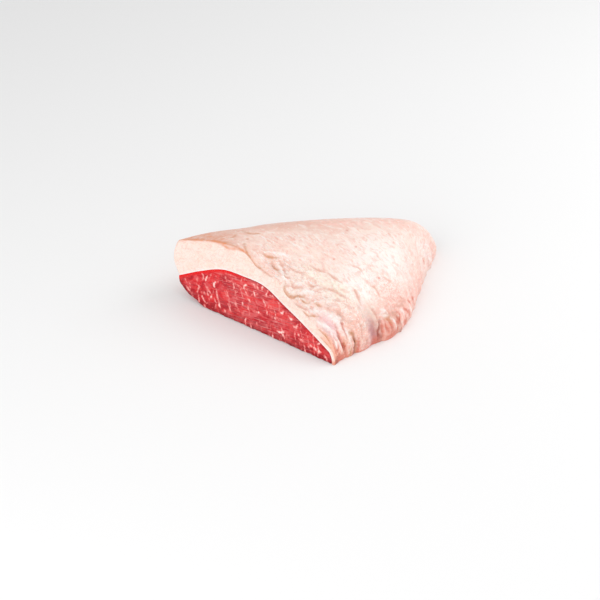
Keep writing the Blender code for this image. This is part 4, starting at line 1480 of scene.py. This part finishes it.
def lean_material(settings, ragged, moist):
    """Red lean: wet muscle with its grain, pale flecks of fat, a brighter line under the seam and painted
    shade along the foot.
    """
    material, make, shader = shader_of("red_lean_muscle")
    place = make.add("ShaderNodeTexCoord").outputs["Object"]
    grain = make.flow_noise(*GRAIN)
    fibres = make.flow_noise(*FIBRES)
    patches = make.flow_noise(*RED_PATCHES)
    sheen = make.flow_noise(*SHEEN_LINES)
    grit = make.noise(place, GRIT, detail=3.0)
    shiny = make.mask("shiny")
    red = Paint(make, settings, "red")
    red.lay("bright_red", make.step(make.noise(place, LEAN_CLOUDS, detail=4.0), 0.34, 0.66))
    red.lay("dark_red", make.step(patches, 0.52, 0.36), 0.6)
    red.lay("dark_red", make.step(grain, 0.50, 0.36), 0.75)
    red.lay("pink_red", make.step(patches, 0.50, 0.68), 0.5)
    red.lay("pink_red", make.step(fibres, 0.56, 0.68), 0.4)
    red.lay("sheen", make.step(sheen, 0.60, 0.70), make.math("MULTIPLY_ADD", shiny, 0.4, 0.4))
    red.lay("pink_red", make.step(grit, 0.60, 0.74), 0.25)
    red.lay("sheen", make.times(make.step(sheen, 0.36, 0.60), shiny), 0.22)
    # Painted shade along the foot, with a ragged edge.
    red.lay_ragged(ragged, place, [("foot_shade_red", "near_foot", 0.004, 0.6, 0.95)])
    red.lay("seam_red", make.mask("near_seam"), 0.9)
    # The same dark red on a line under the seam at the tip.
    red.lay("foot_shade_red", make.mask("tip_seam"), 0.8)
    red.lay("dark_red", make.math("SUBTRACT", 1.0, make.mask("cut_face")), 0.5)
    marbled = make.group(ragged, Mask=make.mask("marbling"), Vector=place, Size=0.0022, Raggedness=0.75)
    red.lay("faint_fleck", make.step(marbled.outputs[0], 0.08, 0.60))
    red.lay("marbling", make.step(marbled.outputs[0], 0.45, 1.0))
    make.feed(shader.inputs["Base Color"], red.colour)
    relief = make.math("MULTIPLY_ADD", fibres, 0.6, grain)
    relief = make.math("MULTIPLY_ADD", grit, 0.25, relief)
    film = make.group(moist, Vector=place, Wetness=0.8, Dry_Roughness=0.42, Wet_Roughness=0.22)
    moist_finish(make, shader, film, 0.2, relief, LEAN_SHADER)
    return material


def colour_property(name, description, display):
    return bpy.props.FloatVectorProperty(
        name=name, description=description, subtype="COLOR", size=3, min=0.0, max=1.0, default=tone(*display)
    )


def length_property(name, description, default):
    return bpy.props.FloatProperty(
        name=name, description=description, unit="LENGTH", precision=5, default=default
    )


class PicanhaFatSettings(bpy.types.PropertyGroup):
    """Sizes and colours of the fat cap."""

    wrinkle_height: length_property("Wrinkle height", "Height of the loops and wrinkles in the skin", 0.0015)
    wrinkle_length: length_property("Wrinkle length", "Distance along one wrinkle", 0.0085)
    wrinkle_width: length_property("Wrinkle width", "Distance across one wrinkle", 0.0036)
    fibre_height: length_property("Fibre height", "Height of the fine lumps over the whole skin", 0.0009)
    dash_length: length_property("Dash length", "Length of the dashes in the skin", 0.0055)
    dash_width: length_property("Dash width", "Distance across one dash", 0.0021)
    dash_strength: bpy.props.FloatProperty(
        name="Dashes", description="How strongly the skin is dashed", subtype="FACTOR", min=0, max=1,
        default=0.75,
    )
    cream: colour_property("Cream", "Main colour of the skin", (248, 226, 215))
    blush: colour_property("Blush", "Pinker clouds in the skin", (248, 212, 199))
    # Pale flecks, and the painted highlight along the ridges.
    pale: colour_property("Pale", "Palest ridges and flecks", (252, 245, 241))
    # The palest skin, and the painted broad highlight on the top.
    pale_skin_and_highlight: colour_property("Pale skin", "Palest part of the skin", (251, 242, 236))
    pink: colour_property("Pink", "Skin at the far end", (255, 197, 184))
    peach: colour_property("Peach", "Folds at the tip", (250, 192, 174))
    yellow: colour_property("Yellow", "Patch of thicker fat", (250, 240, 222))
    # Dried skin at the rim; on the back side and the top at the left the same brown is painted shade.
    brown_skin_and_shade: colour_property("Brown skin", "Dried skin at the rim and the back side", (228, 176, 155))
    blotch: colour_property("Blotch", "Soft darker spots of the skin", (236, 192, 178))
    streak: colour_property("Streak", "Fine pink streaks and veins", (238, 178, 163))
    loop: colour_property("Loop", "Looped pink lines at the front", (244, 168, 152))
    # Painted shade in the bottoms of the wrinkles.
    wrinkle_shade: colour_property("Hollow", "Bottom of the wrinkles", (228, 184, 170))
    tip_orange: colour_property("Tip", "Orange skin at the tip", (251, 184, 156))
    lobe: colour_property("Lobe", "Rounded lobe at the front", (238, 163, 144))
    # Painted shade of the skin near the table.
    low_edge: colour_property("Low edge", "Skin near the table at the tip and the front", (224, 124, 100))
    green: colour_property("Valley top", "Greyish skin at the top of the valley", (236, 217, 200))
    # In the valley this lilac is painted shade.
    lilac: colour_property("Valley", "Lilac skin in the valley and near the tip", (238, 192, 197))
    # Painted shade at the foot of the valley.
    mauve: colour_property("Valley foot", "Darker skin at the foot of the valley", (192, 134, 138))
    # Painted shade in the bottoms of the folds.
    fold: colour_property("Fold", "Bottom of the folds", (212, 136, 116))
    shade_line: colour_property("Shaded crease", "Soft creases", (226, 170, 152))
    # Dried creases, and the painted shadow under the flap.
    brown_crease_and_shadow: colour_property("Brown crease", "Creases with dried edges", (210, 148, 110))
    red_line: colour_property("Red crease", "Creases and spots with blood", (218, 112, 90))
    # Painted shade in the deepest creases and pits.
    deep_crease_shade: colour_property("Dark crease", "Deepest creases", (172, 88, 74))
    rim_line: colour_property("Rim line", "Dry line along the rim", (230, 144, 98))
    cut_fat: colour_property("Cut fat", "Cut face of the fat", (250, 228, 217))
    cut_fat_shade: colour_property("Cut fat shade", "Darker clouds in the cut face", (249, 221, 208))


class PicanhaLeanSettings(bpy.types.PropertyGroup):
    """Sizes and colours of the lean."""

    row_spacing: length_property("Row spacing", "Distance between the slanting rows of flecks", 0.0082)
    loose_flecks: bpy.props.IntProperty(
        name="Loose flecks", description="Flecks between the rows", default=80
    )
    fleck_height: length_property("Fleck height", "How far a fleck of fat stands proud of the cut", 0.00025)
    grain_height: length_property("Grain height", "Height of the grain in the cut", 0.0008)
    red: colour_property("Red", "Main colour of the lean", (206, 26, 40))
    bright_red: colour_property("Bright red", "Brighter clouds in the lean", (232, 48, 48))
    dark_red: colour_property("Dark red", "Grain and hidden sides", (166, 12, 32))
    # Painted shade along the foot; the same dark red also lines the seam at the tip.
    foot_shade_red: colour_property("Foot red", "Along the foot and at the tip", (126, 2, 16))
    pink_red: colour_property("Pink red", "Fine pale fibres", (230, 100, 102))
    sheen: colour_property("Sheen", "Greyish pink lines where the grain shines", (226, 140, 138))
    seam_red: colour_property("Seam red", "Line just under the fat", (236, 18, 16))
    faint_fleck: colour_property("Faint fleck", "Thin flecks and the edges of thick ones", (238, 132, 128))
    marbling: colour_property("Marbling", "Flecks of fat in the lean", (255, 220, 212))


class PicanhaStageSettings(bpy.types.PropertyGroup):
    """The plain stage around the piece."""

    floor: colour_property("Floor", "Plain floor", (243, 243, 243))
    sky_strength: bpy.props.FloatProperty(
        name="Sky", description="Brightness of the even light", min=0, default=0.695
    )
    key_power: bpy.props.FloatProperty(
        name="Key light", description="Power of the large light behind on the right", unit="POWER", min=0,
        default=5.7,
    )
    fill_power: bpy.props.FloatProperty(
        name="Fill light", description="Power of the light in front on the left", unit="POWER", min=0,
        default=7.6,
    )
    side_power: bpy.props.FloatProperty(
        name="Side light", description="Power of the low light on the right", unit="POWER", min=0, default=1.4
    )


class PICANHA_OT_fat_cap(bpy.types.Operator):
    """Build the fat cap with its crumpled skin and cut face"""

    bl_idname = "picanha.fat_cap"
    bl_label = "Fat cap"

    def execute(self, context):
        settings = context.scene.picanha_fat
        ragged, moist, relief = shared_groups()
        material = fat_material(settings, ragged, moist)
        piece = fat_piece()
        add_relief(
            piece, relief, Where="wrinkle", Record="ridge", Height=settings.wrinkle_height,
            Length=settings.wrinkle_length / MM, Width=settings.wrinkle_width / MM, Turn=-0.2, Looping=1.0,
            Seed=3.0, Material=material,
        )
        add_relief(
            piece, relief, Where="fibre", Record="fine_ridge", Height=settings.fibre_height, Length=7.0,
            Width=3.0, Turn=0.33, Looping=0.6, Seed=8.0, Material=material,
        )
        made_plain(piece)
        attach(piece, "root")
        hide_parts("fat_cap")
        return {"FINISHED"}


class PICANHA_OT_lean(bpy.types.Operator):
    """Build the lean with its marbled cut face"""

    bl_idname = "picanha.lean"
    bl_label = "Lean"

    def execute(self, context):
        settings = context.scene.picanha_lean
        ragged, moist, relief = shared_groups()
        material = lean_material(settings, ragged, moist)
        piece = lean_piece(settings)
        add_relief(
            piece, relief, Where="grain", Record="ridge", Height=settings.grain_height, Length=16.0,
            Width=2.6, Turn=0.0, Looping=0.4, Seed=5.0, Material=material,
        )
        made_plain(piece)
        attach(piece, "root")
        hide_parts("lean")
        return {"FINISHED"}


# The camera: the spot on the table that it looks at, its height angle, tilt and distance.
CAMERA_TARGET = (-0.0095, 0.0167, 0.0)
CAMERA_ELEVATION = math.radians(33.495)
CAMERA_ROLL = math.radians(-3.994)
CAMERA_DISTANCE = 1.412
CAMERA_LENS = 92.5
CAMERA_SENSOR = 36.0
CAMERA_SHIFT = (0.0008, -0.0025)

# The soft lights (name, place, size), the spot that they face, and the floor just under the piece.
LIGHTS = (
    ("key", (1.0, 0.3, 0.85), 0.9),
    ("fill", (-0.7, -0.9, 0.7), 1.2),
    ("side", (1.1, -0.4, 0.45), 0.9),
)
LIGHT_TARGET = (0.0, 0.0, 0.03)
FLOOR_REACH = 4.0
FLOOR_LEVEL = -0.0001
FLOOR_ROUGHNESS = 0.6


def soft_light(name, place, size, power):
    """A square area light that faces the piece."""
    light = bpy.data.lights.new(name, "AREA")
    light.size = size
    light.energy = power
    lamp = bpy.data.objects.new(name, light)
    lamp.location = place
    lamp.rotation_euler = (Vector(LIGHT_TARGET) - Vector(place)).to_track_quat("-Z", "Y").to_euler()
    bpy.context.scene.collection.objects.link(lamp)


def plain_floor(settings):
    """A plain floor just below the table's height."""
    mesh = bpy.data.meshes.new("floor")
    signs = ((-1, -1), (1, -1), (1, 1), (-1, 1))
    corners = [(FLOOR_REACH * x, FLOOR_REACH * y, FLOOR_LEVEL) for x, y in signs]
    mesh.from_pydata(corners, [], [(0, 1, 2, 3)])
    floor = bpy.data.objects.new("floor", mesh)
    bpy.context.scene.collection.objects.link(floor)
    material, _, shader = shader_of("plain_floor")
    shader.inputs["Base Color"].default_value = (*settings.floor, 1.0)
    shader.inputs["Roughness"].default_value = FLOOR_ROUGHNESS
    mesh.materials.append(material)


def studio_camera():
    """The camera at the height, tilt and distance that show the cut face and the top together."""
    back = Vector((0.0, -math.cos(CAMERA_ELEVATION), math.sin(CAMERA_ELEVATION)))
    level = Vector((1.0, 0.0, 0.0))
    up = back.cross(level)
    c = math.cos(CAMERA_ROLL)
    s = math.sin(CAMERA_ROLL)
    right = level * c + up * s
    up = up * c - level * s
    place = Vector(CAMERA_TARGET) + back * CAMERA_DISTANCE
    camera = bpy.data.objects.new("camera", bpy.data.cameras.new("camera"))
    camera.matrix_world = Matrix((
        (right.x, up.x, back.x, place.x),
        (right.y, up.y, back.y, place.y),
        (right.z, up.z, back.z, place.z),
        (0.0, 0.0, 0.0, 1.0),
    ))
    camera.data.lens = CAMERA_LENS
    camera.data.sensor_width = CAMERA_SENSOR
    camera.data.shift_x, camera.data.shift_y = CAMERA_SHIFT
    bpy.context.scene.collection.objects.link(camera)
    bpy.context.scene.camera = camera


class PICANHA_OT_stage(bpy.types.Operator):
    """Set the plain floor, the soft lights and the camera"""

    bl_idname = "picanha.stage"
    bl_label = "Stage"

    def execute(self, context):
        settings = context.scene.picanha_stage
        plain_floor(settings)
        for name, place, size in LIGHTS:
            soft_light(name, place, size, getattr(settings, name + "_power"))
        world = bpy.data.worlds.new("studio")
        world.use_nodes = True
        sky = world.node_tree.nodes["Background"]
        sky.inputs["Color"].default_value = (1.0, 1.0, 1.0, 1.0)
        sky.inputs["Strength"].default_value = settings.sky_strength
        context.scene.world = world
        context.scene.view_settings.view_transform = "Standard"
        studio_camera()
        return {"FINISHED"}


class PICANHA_PT_panel(bpy.types.Panel):
    """Lists the pieces and their settings"""

    bl_label = "Picanha"
    bl_idname = "PICANHA_PT_panel"
    bl_space_type = "VIEW_3D"
    bl_region_type = "UI"
    bl_category = "Picanha"

    def draw(self, context):
        for label, operator, settings in (
            ("Fat cap", "picanha.fat_cap", context.scene.picanha_fat),
            ("Lean", "picanha.lean", context.scene.picanha_lean),
            ("Stage", "picanha.stage", context.scene.picanha_stage),
        ):
            box = self.layout.box()
            box.operator(operator, text=label)
            for name in settings.__annotations__:
                box.prop(settings, name)


CLASSES = (
    PicanhaFatSettings,
    PicanhaLeanSettings,
    PicanhaStageSettings,
    PICANHA_OT_fat_cap,
    PICANHA_OT_lean,
    PICANHA_OT_stage,
    PICANHA_PT_panel,
)


def register():
    for item in CLASSES:
        bpy.utils.register_class(item)
    bpy.types.Scene.picanha_fat = bpy.props.PointerProperty(type=PicanhaFatSettings)
    bpy.types.Scene.picanha_lean = bpy.props.PointerProperty(type=PicanhaLeanSettings)
    bpy.types.Scene.picanha_stage = bpy.props.PointerProperty(type=PicanhaStageSettings)


def unregister():
    del bpy.types.Scene.picanha_stage
    del bpy.types.Scene.picanha_lean
    del bpy.types.Scene.picanha_fat
    for item in reversed(CLASSES):
        bpy.utils.unregister_class(item)


def main():
    register()
    bpy.ops.picanha.stage()
    bpy.ops.picanha.fat_cap()
    bpy.ops.picanha.lean()


if __name__ == "__main__":
    main()
